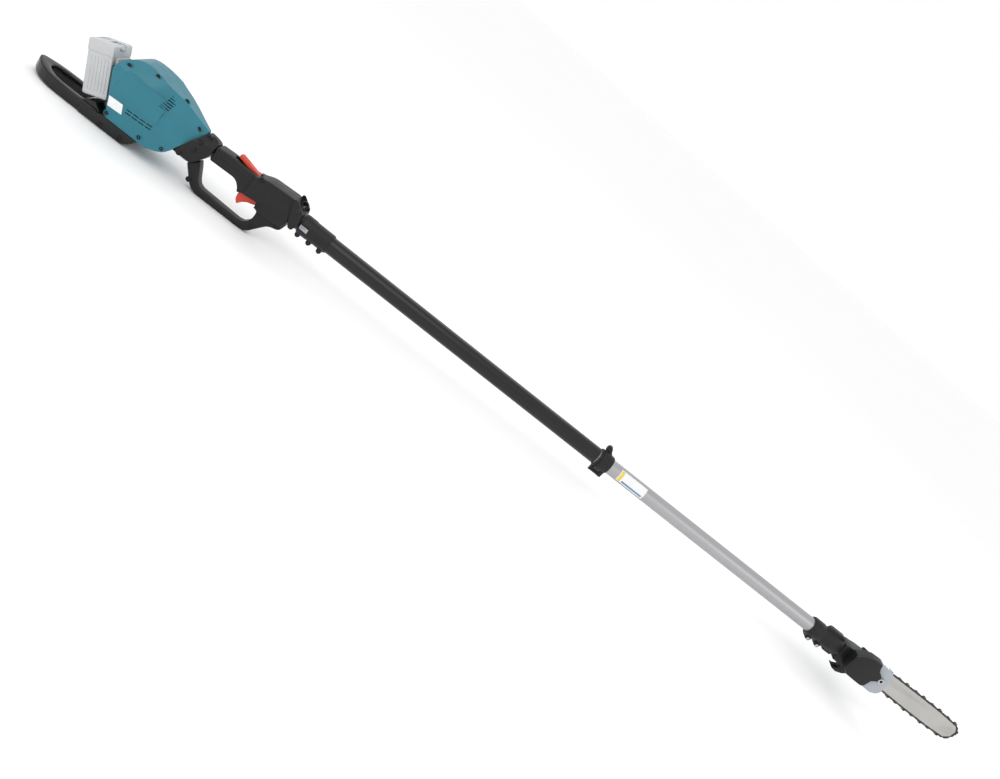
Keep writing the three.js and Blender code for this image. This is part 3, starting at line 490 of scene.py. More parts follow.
def worked(name, tint, rough=0.3, stretch=(4.0, 60.0, 60.0), depth=0.05, metal=1.0, stain=0.5,
           glint=0.5):
    """Metal with fine lines along one direction, faint stains, and outer edges mixed towards a brighter tint
    that stands partly for rubbed wear and partly for a painted highlight.
    """
    if name in MADE:
        return MADE[name]
    tint = tuple(tint)
    f = Finish(name)
    lines = f.noise(28.0, 6.0, f.stretched(stretch), 0.7)
    clouds = f.ramp(f.noise(14.0, 5.0), 0.35, 0.7)
    base = f.mix(lines, shade(tint, 0.86), shade(tint, 1.12))
    stained = f.mix(f.times(clouds, stain), base, shade(tint, 0.72))
    # outer edges mixed towards a brighter tint: partly rubbed wear, partly a painted highlight along the
    # bevels
    f.paint(f.mix(f.times(f.edges(), 0.2), stained, shade(tint, 1.4)))
    f.gloss(f.ramp(lines, 0.3, 0.7, rough - 0.06, rough + 0.08))
    f.bump(lines, depth, 0.0002)
    f.set(Metallic=metal, Specular_IOR_Level=glint)
    MADE[name] = f.material
    return f.material


def teal():
    return moulded("teal_moulding", colours().teal, 0.36, 2200.0, 0.06, glint=0.4)


def black():
    return moulded("black_moulding", colours().black, 0.42, 2400.0, 0.12, glint=0.30)


def gloss_black():
    return moulded("gloss_black_moulding", colours().gloss_black, 0.16, 2400.0, 0.02, coat=0.2, glint=0.3)


def dark():
    return moulded("dark_moulding", shade(colours().black, 0.6), 0.55, 2000.0, 0.15, glint=0.25)


def red():
    return moulded("red_moulding", colours().red, 0.38, 2200.0, 0.08, glint=0.35)


def pale():
    return moulded("pale_moulding", colours().pale, 0.34, 1800.0, 0.06)


def cover_grey():
    return moulded("cover_moulding", colours().cover, 0.40, 2000.0, 0.08, glint=0.35)


def rubber():
    return moulded("rubber", shade(colours().black, 0.8), 0.72, 1500.0, 0.25, glint=0.2)


def label_film():
    return moulded("label_film", colours().label, 0.30, 900.0, 0.02)


def black_tube():
    return worked("black_tube_coat", (0.008, 0.008, 0.009), 0.24, (3.0, 90.0, 90.0), 0.02, 0.0, 0.3, 0.35)


def silver_tube():
    return worked("anodised_tube", colours().silver, 0.33, (2.0, 160.0, 160.0), 0.03, 1.0, 0.12)


def bar_steel():
    return worked("bar_steel", colours().bar, 0.36, (6.0, 90.0, 240.0), 0.05, 1.0, 0.45)


def steel():
    return worked("bright_steel", (0.50, 0.50, 0.51), 0.30, (40.0, 40.0, 40.0), 0.05, 1.0, 0.4)


def dark_steel():
    return worked("black_oxide_steel", (0.030, 0.030, 0.032), 0.40, (60.0, 60.0, 60.0), 0.08, 0.6, 0.4)


def chain_steel():
    return worked("chain_steel", (0.075, 0.072, 0.070), 0.38, (60.0, 60.0, 60.0), 0.08, 1.0, 0.5)


def cast_alloy():
    return worked("cast_alloy", (0.45, 0.45, 0.46), 0.45, (50.0, 50.0, 50.0), 0.2, 1.0, 0.3)


def copper():
    return worked("wound_copper", (0.62, 0.26, 0.12), 0.35, (8.0, 200.0, 200.0), 0.5, 1.0, 0.4)
# ---- motor housing and guard ----------------------------------------------------------------

HOUSING = ((-1042.5, 33), (-1035, 50), (-1026, 62), (-1013, 71), (-997, 75.5), (-976, 76), (-952, 72.5),
           (-926, 65.5), (-900, 60), (-876, 51.5), (-852, 41.5), (-829.6, 33), (-868, -40), (-874, -50),
           (-888, -58), (-912, -66), (-1007.5, -66))
HOUSING_ROOM = ((-1039, 32), (-1032, 48), (-1023.5, 59.5), (-1011.5, 67.6), (-996.5, 72), (-976, 72.5),
                (-952.5, 69), (-927, 62), (-901, 56.6), (-877.5, 48.2), (-853.5, 38.2), (-834, 30.5),
                (-870, -37), (-877, -47), (-889, -54.5), (-912, -62.5), (-1004, -62.5))
SIDE_PANEL = ((-1009, 48), (-989, 48), (-963, 47), (-919, 46), (-901, 44), (-888, 39), (-885, 26),
              (-889, 7), (-898, -4), (-916, -11), (-937, -12), (-970, -14), (-1002, -14.5), (-1022, -15))
LABEL = ((-1019, -20), (-987, -18.5), (-980, -38), (-1013, -40))
BATTERY_LEAN = -20
SCREEN_INSET = 2.6
HALVES = (("right", -0.15, -1), ("left", 0.15, 1))


def both_sides(obj, point, normal, cut=trim):
    """Trims obj with a plane and with its twin on the other side of the pole."""
    x, y, z = point
    cut(obj, (x, y, z), normal)
    return cut(obj, (x, -y, z), (normal[0], -normal[1], normal[2]))


def shouldered(obj, inset):
    """Cuts a closed form to the housing's tapering shoulders."""
    both_sides(obj, (-930, inset - 62, 0), (0.167, -0.986, 0), sliced)
    both_sides(obj, (-950, inset - 51.5, 56.2), (0, -0.753, 0.658), sliced)
    return both_sides(obj, (-942, inset - 41, 67), (0.382, -0.826, 0.415), sliced)


def housing_form(name, outline, inset, rim, segments):
    """The housing's closed form, or the room inside it."""
    return shouldered(slab(name, outline, inset - 62, 62 - inset, rim=rim, segments=segments), inset)


def halved(obj, name, body, slot, material, **settings):
    """Parts obj at the pole's upright middle plane into the two halves of a moulding."""
    pieces = [obj, twin(obj, name + "_left_half")]
    obj.name = name + "_right_half"
    for piece, (side, y, facing) in zip(pieces, HALVES):
        trim(piece, (-800, y, 0), (0, -facing, 0))
        finished(piece, body, slot, material, [name + "_" + side], **settings)
    return pieces


def rounded_cut(obj, width, segments=2, angle=22):
    """Rounds every edge sharper than an angle."""
    return with_modifier(obj, "BEVEL", width=width * MM, segments=segments, limit_method="ANGLE",
                         angle_limit=math.radians(angle))


def vents():
    """Outlines of the cooling slots: one upright row near the neck and two low rows."""
    outlines = []
    for i in range(8):
        x, z = -912 - i * 0.9, 64 - i * 5.2
        outlines.append(((x - 8, z + 0.2), (x + 8, z - 1.6), (x + 8, z + 0.9), (x - 8, z + 2.7)))
    for row in range(2):
        for i in range(4):
            x, z = -970 + i * 15.5, -21 - row * 7 + i * 0.8
            outlines.append(((x - 6.4, z - 1.6), (x + 6.4, z - 1.2), (x + 6.4, z + 1.4), (x - 6.4, z + 1.0)))
    return outlines


class PoleSawHousing(bpy.types.Operator):
    """Motor housing in two halves with side panels, vents and the battery opening."""

    bl_idname = "pole_saw.housing"
    bl_label = "Motor housing"

    def execute(self, context):
        shell = housing_form("motor_housing", HOUSING, 1.1, 12.5, 8)
        carve(shell, housing_form("room", HOUSING_ROOM, 5.8, 0, 1))
        opening = block("opening", -977, -957, -33.5, 33.5, 307, 387)
        carve(shell, turn(opening, BATTERY_LEAN, "y", (0, 0, 0)))
        carve(shell, turned("neck_hole", [(0, -880), (23, -880), (23, -790), (0, -790)], closed=False))
        screens = []
        for side in (-1, 1):
            panel = slab("side_panel", SIDE_PANEL, *sorted((side * 59.0, side * 62.0)), rim=0.9, segments=2)
            trim(panel, (-930, side * 61.8, 0), (0.167, side * 0.986, 0))
            for outline in vents():
                carve(shell, slab("vent", outline, *sorted((side * 35, side * 75))))
                carve(panel, slab("vent", outline, *sorted((side * 35, side * 75))))
                screens.append(slab("vent_screen", outline, *sorted((side * 42, side * (62 - SCREEN_INSET)))))
                shouldered(screens[-1], SCREEN_INSET)
            finished(panel, "housing", "teal_plastic", teal())
        screen = merge(*screens)
        screen.name = "vent_screens"
        finished(screen, "housing", "black_plastic", black())
        halved(shell, "motor_housing", "housing", "teal_plastic", teal(), smooth=32)
        for side in (-1, 1):
            label = slab("label", LABEL, *sorted((side * 60.8, side * 61.3)), rim=0.1, segments=1)
            finished(label, "housing", "pale_plastic", label_film())
        return {"FINISHED"}


GUARD = ((-1030, 46), (-1100, 46), (-1132, 45), (-1152, 41), (-1170, 33), (-1183, 23), (-1192, 12),
         (-1196, 4))
GUARD_OPENING = ((-1066, 30), (-1120, 30), (-1138, 27.5), (-1152, 21), (-1162, 12), (-1167, 4))


def both_halves(half):
    """Half of a loop seen from above, and its mirror image."""
    return [(x, -y) for x, y in half] + list(reversed(half))


class PoleSawGuard(bpy.types.Operator):
    """Rear guard loop with its foot under the housing."""

    bl_idname = "pole_saw.guard"
    bl_label = "Rear guard"

    def execute(self, context):
        loop = slab("rear_guard", both_halves(GUARD), -97, -71, axis="z", rim=7, segments=6)
        carve(loop, slab("opening", both_halves(GUARD_OPENING), -110, -60, axis="z"))
        edit(loop)

        def inner_rim(edge):
            a, b = [(v.co - POLE) / MM for v in edge.verts]
            inner = all(abs(p.y) < 31 and -1168 < p.x < -1065 for p in (a, b))
            return inner and any(abs(a.z - z) < 0.01 and abs(b.z - z) < 0.01 for z in (-97, -71))

        pick(loop, "edges", inner_rim)
        bpy.ops.mesh.bevel(offset=5 * MM, segments=5, affect="EDGES", clamp_overlap=True)
        pick(loop, "verts", lambda v: (v.co.x - POLE.x) / MM < -1195.5)
        bpy.ops.transform.translate(value=(0, 0, 9.0 * MM), orient_type="GLOBAL", use_proportional_edit=True,
                                    proportional_edit_falloff="SHARP", proportional_size=96 * MM,
                                    use_proportional_connected=False)
        leave(loop)
        cross = slab("cross_block", ((-1068, -90), (-1069, -74), (-1065, -66), (-1054, -61), (-1042, -59),
                                     (-1036, -64.5), (-1026, -71), (-1024, -90)), -40, 40, rim=3)
        foot = slab("foot", ((-1064, -97), (-1065, -74), (-1026, -72), (-1012, -66.4), (-932, -66.4),
                             (-936, -76), (-944, -88), (-957, -97)), -50, 50, rim=5, segments=5)
        carve(loop, foot, cross, operation="UNION")
        carve(loop, block("room", -1020, -951, -44, 44, -91, -60))
        finished(loop, "housing", "black_plastic", gloss_black(), ["guard_loop"], smooth=36)
        return {"FINISHED"}


NECK = ((-828.5, 33), (-808, 31.5), (-799.5, 26), (-799.5, 12), (-802.5, -8), (-812, -24), (-822, -36),
        (-840, -49), (-856, -49.5), (-868, -40))
NECK_ROOM = ((-836, 29.5), (-809, 28), (-803.5, 23), (-803.5, 11), (-806, -6), (-816, -21), (-827, -33),
             (-842, -44), (-850, -43), (-872, -36.5))


def neck_form(name, outline, inset, rim, segments):
    """The neck's closed form, or the room inside it."""
    obj = slab(name, outline, inset - 46, 46 - inset, rim=rim, segments=segments)
    both_sides(obj, (-880, inset - 52.2, 0), (0.324, -0.946, 0))
    both_sides(obj, (-830, inset - 8, 33), (0.12, -0.62, 0.78))
    both_sides(obj, (-830, inset - 33, 14), (0.16, -0.9, 0.42))
    return both_sides(obj, (-850, inset - 40, -36), (0, -0.41, -0.91))


class PoleSawNeck(bpy.types.Operator):
    """Neck between the motor housing and the grip, in two halves."""

    bl_idname = "pole_saw.neck"
    bl_label = "Neck"

    def execute(self, context):
        shell = neck_form("neck_housing", NECK, 0, 6, 4)
        rounded_cut(shell, 2.0, 3, 24)
        carve(shell, neck_form("room", NECK_ROOM, 4, 5, 2))
        carve(shell, turned("shaft_hole", [(0, -812), (10, -812), (10, -790), (0, -790)], closed=False))
        trim(shell, (-827.7, 0, 36), (-0.884, 0, 0.468))
        halved(shell, "neck_housing", "housing", "black_plastic", black(), smooth=36)
        return {"FINISHED"}


HANDLE = ((-799, 23.5), (-760, 26), (-700, 26), (-691, 28), (-680, 33), (-668, 36.5), (-608, 40),
          (-602, 37), (-594, 27), (-593, -18), (-595, -32), (-599, -43), (-606, -47), (-618, -50),
          (-627, -56), (-642, -75), (-651, -87), (-661, -95), (-672, -97), (-788, -97), (-801, -92),
          (-810, -84), (-836, -50), (-821.5, -36.5), (-814.5, -29), (-808, -40), (-797, -65),
          (-791, -74), (-781, -78.5), (-686, -81.5), (-674, -79), (-665, -70), (-660, -58),
          (-660, -44), (-666, -33), (-718, -33), (-722, -20), (-730, -12.5), (-739, -9.5), (-799, -11.5))
GRIP = ((-799, 23.5), (-760, 26), (-700, 26), (-690, 24), (-690, -33), (-716, -33), (-721, -22),
        (-730, -12.5), (-739, -9.5), (-799, -11.5))
CONTROL_BOX = ((-702, 26), (-691, 28), (-680, 33), (-668, 36.5), (-608, 40), (-602, 37), (-594, 27),
               (-593, -18), (-598, -30), (-655, -36), (-666, -33), (-702, -32))
BOX_PANEL = ((-668, 28), (-665, 32.5), (-617, 35), (-611, 32), (-597, 3), (-597, -6), (-648, -25),
             (-654, -23))
TRIGGER_WINDOW = ((-720, -46), (-720, -30), (-711.5, -28.2), (-702.3, -22.6), (-670, -18.6), (-667.3, -22),
                  (-667.3, -46))
NECK_SIDE = ((-799.2, 45), (-799.2, 12), (-802.2, -8), (-811.7, -24), (-821.7, -36), (-839.7, -49.3),
             (-870, -60), (-870, 45))


def inset_outline(points, inset):
    """An outline drawn inwards by a distance."""
    count = len(points)
    area = sum(points[i - 1][0] * points[i][1] - points[i][0] * points[i - 1][1] for i in range(count))
    side = 1 if area > 0 else -1
    moved = []
    for i, point in enumerate(points):
        here = Vector(point)
        a = (here - Vector(points[i - 1])).normalized()
        b = (Vector(points[(i + 1) % count]) - here).normalized()
        normal = Vector((-(a.y + b.y), a.x + b.x)).normalized() * side
        reach = inset / max(0.35, abs(-a.y * normal.x + a.x * normal.y))
        moved.append(tuple(here + normal * reach))
    return moved


class PoleSawHandle(bpy.types.Operator):
    """D-handle in two halves: grip, control box and lower loop."""

    bl_idname = "pole_saw.handle"
    bl_label = "D-handle"

    def execute(self, context):
        shell = slab("handle", inset_outline(HANDLE, 0.2), -12.5, 12.5, rim=4, segments=4)
        grip = slab("grip", inset_outline(GRIP, 0.1), -20.5, 20.5, rim=7, segments=6)
        box = slab("control_box", CONTROL_BOX, -27, 27, rim=5, segments=5)
        carve(shell, grip, box, operation="UNION")
        for side in (-1, 1):
            panel = slab("box_panel", BOX_PANEL, *sorted((side * 25, side * 28)), rim=0.9, segments=2)
            ridge = slab("grip_ridge", ((-796, 3), (-790, 7), (-712, 9), (-706, 5), (-712, 1), (-790, -1)),
                         *sorted((side * 19, side * 21.3)), rim=0.7, segments=2)
            carve(shell, panel, ridge, operation="UNION")
        carve(shell, slab("loop_room", inset_outline(HANDLE, 3.0), -9.9, 9.9),
              slab("grip_room", inset_outline(GRIP, 3.3), -16.9, 16.9),
              slab("box_room", inset_outline(CONTROL_BOX, 2.7), -24.4, 24.4))
        carve(shell, block("trigger_slot", -719, -655, -8.6, 8.6, -42, -24),
              block("lever_slot", -760, -692, -8.4, 8.4, 20, 45),
              turned("shaft_hole", [(0, -806), (11, -806), (11, -788), (0, -788)], closed=False),
              turned("tube_hole", [(0, -603), (20.3, -603), (20.3, -580), (0, -580)], closed=False),
              slab("neck_side", NECK_SIDE, -80, 80), slab("trigger_window", TRIGGER_WINDOW, -60, 60))
        halved(shell, "handle", "housing", "black_plastic", black(), smooth=36)
        return {"FINISHED"}
# ---- controls, hanger, clamp and pole -------------------------------------------------------

TRIGGER = ((-715, -37), (-713, -48), (-706, -57), (-699, -47), (-688, -39), (-676, -35.5), (-668, -31),
           (-659, -25), (-659, -18), (-668, -16.5), (-702, -21), (-711, -27))
LOCK_OFF = ((-753, 31), (-753, 38.5), (-748, 39.2), (-700, 27.6), (-695.5, 24), (-695.5, 18), (-704, 17),
            (-712, 21))


def rod(name, radius, low, high, axis="x", centre=(0, 0, 0), steps=32, edge=0.0):
    """A round bar between two positions along an axis, its end edges rounded."""
    profile = [(0, low), (radius - edge, low), (radius, low + edge), (radius, high - edge),
               (radius - edge, high), (0, high)]
    if not edge:
        profile = [(0, low), (radius, low), (radius, high), (0, high)]
    return turned(name, profile, axis, centre, steps, closed=False)


class PoleSawControls(bpy.types.Operator):
    """Trigger and lock-off lever."""

    bl_idname = "pole_saw.controls"
    bl_label = "Controls"

    def execute(self, context):
        trigger = slab("trigger_blade", TRIGGER, -8, 8, rim=2.5, segments=4)
        carve(trigger, rod("hole", 2.2, -20, 20, "y", (-664, 0, -22)),
              block("spring_room", -671.5, -656, -4, 4, -30, -14))
        finished(trigger, "trigger_body", "red_plastic", red(), ["trigger"])
        lever = slab("lock_off_blade", LOCK_OFF, -7.6, 7.6, rim=1.8, segments=3)
        carve(lever, rod("hole", 2.2, -20, 20, "y", (-700, 0, 20.5)),
              block("spring_room", -707, -690, -3.6, 3.6, 10, 25.4))
        for i in range(5):
            groove = block("groove", -748 + i * 4, -746.6 + i * 4, -5.5, 5.5, 30, 45)
            trim(groove, (-748, 0, 38.0), (-0.235, 0, -0.972))
            carve(lever, groove)
        finished(lever, "lock_off_body", "red_plastic", red(), ["lock_off_lever"])
        return {"FINISHED"}


BRACKET = ((-606, 33), (-606, 43.2), (-600, 44.5), (-576, 27), (-572, 12), (-571, -4), (-577, -19),
           (-586, -19), (-593, -7), (-600, 18))
BOLT = (-586.5, 0, 27.5)


class PoleSawHanger(bpy.types.Operator):
    """Hanger bracket, its bolt and the ring for a shoulder harness."""

    bl_idname = "pole_saw.hanger"
    bl_label = "Hanger"

    def execute(self, context):
        bracket = slab("hanger_yoke", BRACKET, -32, 32, rim=3, segments=4)
        carve(bracket, block("box_side", -620, -592.6, -27.3, 27.3, -60, 60),
              block("middle", -595, -560, -24, 24, 22.6, 60),
              rod("tube_hole", 20.3, -600, -560, steps=64),
              rod("bolt_hole", 2.8, -40, 40, "y", BOLT))
        finished(bracket, "housing", "black_plastic", black(), ["hanger_bracket"])
        bolt = rod("hanger_bolt_piece", 2.5, -33, 33, "y", BOLT)
        carve(bolt, rod("head", 4.6, -35.4, -32.2, "y", BOLT, 32, 0.8),
              rod("nut", 4.6, 32.2, 35.4, "y", BOLT, 6), operation="UNION")
        carve(bolt, rod("socket", 2.2, -36, -34, "y", BOLT, 6))
        finished(bolt, "housing", "dark_steel", dark_steel(), ["hanger_bolt"])
        ring = turned("harness_ring", [(7.3 + a, b) for a, b in arc(2.1, 0, 337.5, 15)], "y",
                      (BOLT[0], 0, BOLT[2] + 8.8), 40)
        eye = rod("eye", 4.4, -7, 7, "y", BOLT, 40, 0.6)
        carve(ring, eye, operation="UNION")
        carve(ring, rod("bore", 2.8, -9, 9, "y", BOLT, 32))
        finished(ring, "ring_body", "dark_steel", dark_steel(), ["hanger_ring"])
        return {"FINISHED"}


SLEEVE = ((0, -570), (23, -570), (24.5, -566), (24.5, -556.6), (23.7, -556.6), (23.7, -555), (24.5, -555),
          (24.5, -551.6), (23.7, -551.6), (23.7, -550), (24.5, -550), (24.5, -545), (23.2, -540),
          (23.2, -498), (22, -494), (0, -494))


class PoleSawClamp(bpy.types.Operator):
    """Two-part sleeve that clamps the pole behind the handle."""

    bl_idname = "pole_saw.clamp"
    bl_label = "Pole clamp"

    def execute(self, context):
        sleeve = turned("pole_clamp", SLEEVE, closed=False)
        for x in (-563, -534, -506):
            lug = slab("lug", ((x - 6, -17), (x - 6, -27), (x - 2, -31), (x + 2, -31), (x + 6, -27),
                               (x + 6, -17)), -11, 11, rim=1.5, segments=3)
            carve(sleeve, lug, operation="UNION")
        carve(sleeve, rod("bore", 20.3, -575, -490, steps=60))
        halved(sleeve, "pole_clamp", "housing", "black_plastic", black())
        pad = slab("clamp_pad", ((-567, 4), (-547, 4), (-547, -6), (-566, -5)), -25.0, -22.5, rim=0.5)
        for i in range(4):
            carve(pad, block("groove", -563.5 + i * 4, -562 + i * 4, -26, -24.4, -9, 8))
        trim(pad, (0, -22.8, 0), (0, 1, 0))
        finished(pad, "housing", "grey_plastic", cover_grey())
        return {"FINISHED"}


class PoleSawPole(bpy.types.Operator):
    """Outer and inner tubes with a blank label."""

    bl_idname = "pole_saw.pole"
    bl_label = "Pole"

    def execute(self, context):
        outer = turned("black_tube", [(19, -585), (19.7, -585), (20, -584.6), (20, 274.6), (19.7, 275),
                                      (19, 275)])
        finished(outer, "housing", "black_tube", black_tube(), ["outer_tube"])
        inner = turned("silver_tube", [(17.4, -380), (18.3, -380), (18.6, -379.7), (18.6, 999.7),
                                       (18.3, 1000), (17.4, 1000)])
        finished(inner, "inner_pole", "silver_tube", silver_tube(), ["inner_tube"])
        for name, low, high, start, end, material in (
                ("tube_label", 342, 420, 120, 215, label_film()),
                ("tube_label_band", 344, 352, 124, 211, moulded("label_band", (0.75, 0.55, 0.08), 0.4)),
                ("tube_label_bar", 356, 416, 190, 205, moulded("label_bar", (0.10, 0.22, 0.42), 0.4))):
            lift = 0.0 if name == "tube_label" else 0.12
            angles = [math.radians(start + (end - start) * i / 24) for i in range(25)]
            arc = [((18.75 + lift) * math.cos(a), (18.75 + lift) * math.sin(a)) for a in angles]
            arc += [((18.62 + lift) * math.cos(a), (18.62 + lift) * math.sin(a)) for a in reversed(angles)]
            finished(slab(name, arc, low, high, axis="x"), "inner_pole", "pale_plastic", material)
        return {"FINISHED"}


COLLAR = ((19.1, 279), (22.1, 279), (22.1, 278), (23, 278), (24, 281), (24, 300), (22.5, 313),
          (21.5, 314), (19.1, 314))
LOCK_PIVOT = (0, -8, -29.5)


def arc(radius, start, end, steps):
    """Points of an arc, its angles in degrees."""
    return [(radius * math.cos(math.radians(start + (end - start) * i / steps)),
             radius * math.sin(math.radians(start + (end - start) * i / steps))) for i in range(steps + 1)]


class PoleSawLock(bpy.types.Operator):
    """Collar and lever that lock the pole's length."""

    bl_idname = "pole_saw.lock"
    bl_label = "Pole lock"

    def execute(self, context):
        collar = turned("collar", COLLAR)
        lugs = (
            (((-2.4, -20), (-2.4, -33), (0, -36), (6, -36), (10, -32), (14, -20)), 285, 313, 1.5),
            (((-14, -18), (-12.5, -33), (-8, -35.5), (0, -35.5), (0, -18)), 302.4, 313, 1.0),
            (((-14, -18), (-12.5, -33), (-8, -35.5), (-3.5, -35.5), (-3.5, -18)), 278, 282.4, 1.0),
        )
        for outline, low, high, rim in lugs:
            carve(collar, slab("lug", outline, low, high, axis="x", rim=rim, segments=3), operation="UNION")
        carve(collar, rod("bore", 19.1, 270, 320, steps=72), rod("pin_hole", 2.1, 270, 320, "x", LOCK_PIVOT))
        finished(collar, "housing", "black_plastic", black(), ["lock_collar"])
        lever = slab("lock_band", arc(24.7, 75, 248, 36) + arc(28, 248, 72, 36), 283, 300, axis="x", rim=0.9,
                     segments=3)
        ear = slab("ear", ((281, 25), (279.5, 34), (282, 39.5), (287, 41.5), (292, 39.5), (296, 33),
                           (299, 25)), -3, 7.5, rim=2, segments=3)
        carve(lever, rod("knuckle", 5, 283, 301.8, "x", LOCK_PIVOT), ear, operation="UNION")
        carve(lever, rod("clear", 24.6, 270, 320, steps=72), rod("pin_hole", 2.2, 270, 320, "x", LOCK_PIVOT))
        finished(lever, "lock_lever_body", "black_plastic", black(), ["lock_lever"])
        return {"FINISHED"}


class PoleSawBattery(bpy.types.Operator):
    """Slide-on battery: case, lid and release button."""

    bl_idname = "pole_saw.battery"
    bl_label = "Battery"

    def execute(self, context):
        def outline(inset, corner=6):
            back, front, half = -1035 + inset, -981 - inset, 38 - inset
            return [(back, -half + corner), (back + corner * 0.3, -half + corner * 0.3),
                    (back + corner, -half), (front, -half), (front, half), (back + corner, half),
                    (back + corner * 0.3, half - corner * 0.3), (back, half - corner)]

        case = slab("battery_shell", outline(0), 310, 400, axis="z", rim=5, segments=4, ends="low")
        for side in (-1, 1):
            for i in range(6):
                x = -1024 + i * 7
                low, high = sorted((side * 37.5, side * 38.9))
                rib = slab("rib", ((x - 1.6, 322), (x + 1.6, 322), (x + 1.6, 390), (x - 1.6, 390)),
                           low, high, rim=0.6, segments=2)
                carve(case, rib, operation="UNION")
        rail = slab("rail", ((-981.5, -23.2), (-978.4, -23.2), (-978.4, -27.6), (-973, -27.6), (-973, 27.6),
                             (-978.4, 27.6), (-978.4, 23.2), (-981.5, 23.2)), 322, 398, axis="z")
        carve(case, rail, operation="UNION")
        carve(case, slab("room", outline(2.4), 312.4, 405, axis="z"))
        for y in (-14, 0, 14):
            carve(case, block("contact_slot", -977, -970, y - 2.5, y + 2.5, 312, 366))
        turn(case, BATTERY_LEAN, "y", (0, 0, 0))
        finished(case, "battery", "pale_plastic", pale(), ["battery_case"])

        lid = slab("battery_cap", outline(-1), 400.3, 424, axis="z", rim=5, segments=5, ends="high")
        carve(lid, slab("room", outline(3), 396, 420, axis="z"),
              block("pocket", -1005, -975, -13, 13, 412, 430))
        carve(lid, block("far_recess", -1030, -1012, -14, 14, 422.6, 430))
        finished(turn(lid, BATTERY_LEAN, "y", (0, 0, 0)), "battery", "pale_plastic", pale(), ["battery_lid"])

        button = block("release_button", -1000, -981.5, -12.5, 12.5, 413, 422, rim=1.2)
        carve(button, block("tongue", -982.5, -977, -8, 8, 414, 418), operation="UNION")
        for i in range(3):
            carve(button, block("groove", -996.5 + i * 4, -995 + i * 4, -9, 9, 421, 425))
        finished(turn(button, BATTERY_LEAN, "y", (0, 0, 0)), "battery_release", "pale_plastic", pale(),
                 ["battery_button"])
        return {"FINISHED"}
# ---- saw head -------------------------------------------------------------------------------

BAR_Y = -24
BAR_Z = 15
NOSE_X, NOSE_R = 1418, 22.5
HALF_BAR = ((1150, 12), (1162, 16.4), (1183, 23), (1300, 24.6), (1370, 24.2))
HEAD_SLEEVE = ((0, 966), (23, 966), (24.5, 969), (24.5, 996), (23, 1000), (23, 1006), (25, 1010),
               (25, 1056), (22, 1062), (0, 1062))
CASE = ((1062.3, 22), (1070, 25), (1092, 26), (1150, 28), (1170, 24), (1174, 2), (1168, -18), (1150, -27),
        (1084, -27), (1070, -24), (1062.3, -20))
COVER = ((1085, 29), (1098, 41), (1120, 49), (1158, 50.5), (1188, 46), (1197, 38), (1204, -8), (1202, -16),
         (1196, -23), (1184, -28), (1126, -27), (1100, -24), (1085, -14))
COVER_ROOM = ((1088, 28), (1100, 38.5), (1121, 46.3), (1158, 47.8), (1230, 43), (1230, -20), (1194, -20.5),
              (1183, -25.4), (1126, -24.4), (1101, -21.4), (1088, -12.5))
CAP = ((1081, 27), (1096, 41), (1120, 50), (1144, 50.5), (1148, 40), (1153, 33), (1167, 25), (1170, 11),
       (1157, 0), (1154, -20), (1147, -26), (1126, -26), (1098, -25), (1081, -14))
TANK = ((1086, 10), (1097, 17), (1114, 20), (1142, 20.5), (1160, 18), (1171, 11), (1174, 0), (1166, -20),
        (1148, -27), (1104, -28), (1086, -18))
HOOK = ((1072, -27.4), (1098, -27.4), (1106, -28.4), (1132, -28.4), (1132, -36), (1120, -47), (1104, -53),
        (1090, -51), (1082, -46.5), (1092, -45), (1100, -41), (1103, -36), (1098, -31.6), (1072, -30.6))
HEAD_SCREWS = (982, 1012)


class PoleSawHeadClamp(bpy.types.Operator):
    """Clamp that holds the gear case on the inner tube, with its two screws."""

    bl_idname = "pole_saw.head_clamp"
    bl_label = "Head clamp"

    def execute(self, context):
        clamp = turned("head_socket", HEAD_SLEEVE, steps=70, closed=False)
        for x in HEAD_SCREWS:
            lug = slab("lug", ((x - 9, -19), (x - 8, -29), (x - 4, -32), (x + 4, -32), (x + 8, -29),
                               (x + 9, -19)), -13, 13, rim=2)
            carve(clamp, lug, operation="UNION")
        ridge = slab("ridge", ((1004, 17), (1008, 29), (1013, 31.5), (1050, 31.5), (1056, 27), (1060, 17)),
                     -10, 10, rim=3, segments=4)
        web = slab("web", ((1022, -17), (1030, -27), (1054, -27), (1061.5, -17)), -12.8, 12.8, rim=2.5)
        carve(clamp, ridge, web, operation="UNION")
        carve(clamp, rod("tube_bore", 18.9, 950, 1000.3, steps=64), rod("shaft_bore", 9, 990, 1080),
              block("slot", 950, 1018.7, -1.2, 1.2, -40, -12.5),
              rod("hole", 2.8, -20, 20, "y", (982, 0, -27)), rod("hole", 2.8, -20, 20, "y", (1012, 0, -27)))
        finished(clamp, "inner_pole", "black_plastic", black(), ["head_clamp"])
        for i, x in enumerate(HEAD_SCREWS):
            centre = (x, 0, -27)
            screw = turned(f"head_screw_{i + 1}", [
                (0, -15.4), (2.3, -15.4), (2.3, -17), (3.9, -17), (4.6, -16.3), (4.6, -13.3), (2.5, -13.3),
                (2.5, 13.3), (4.6, 13.3), (4.6, 16.1), (4.1, 16.6), (0, 16.6)], "y", centre, 32, closed=False)
            finished(screw, "inner_pole", "steel", steel(), [f"head_clamp_screw_{i + 1}"])
        return {"FINISHED"}


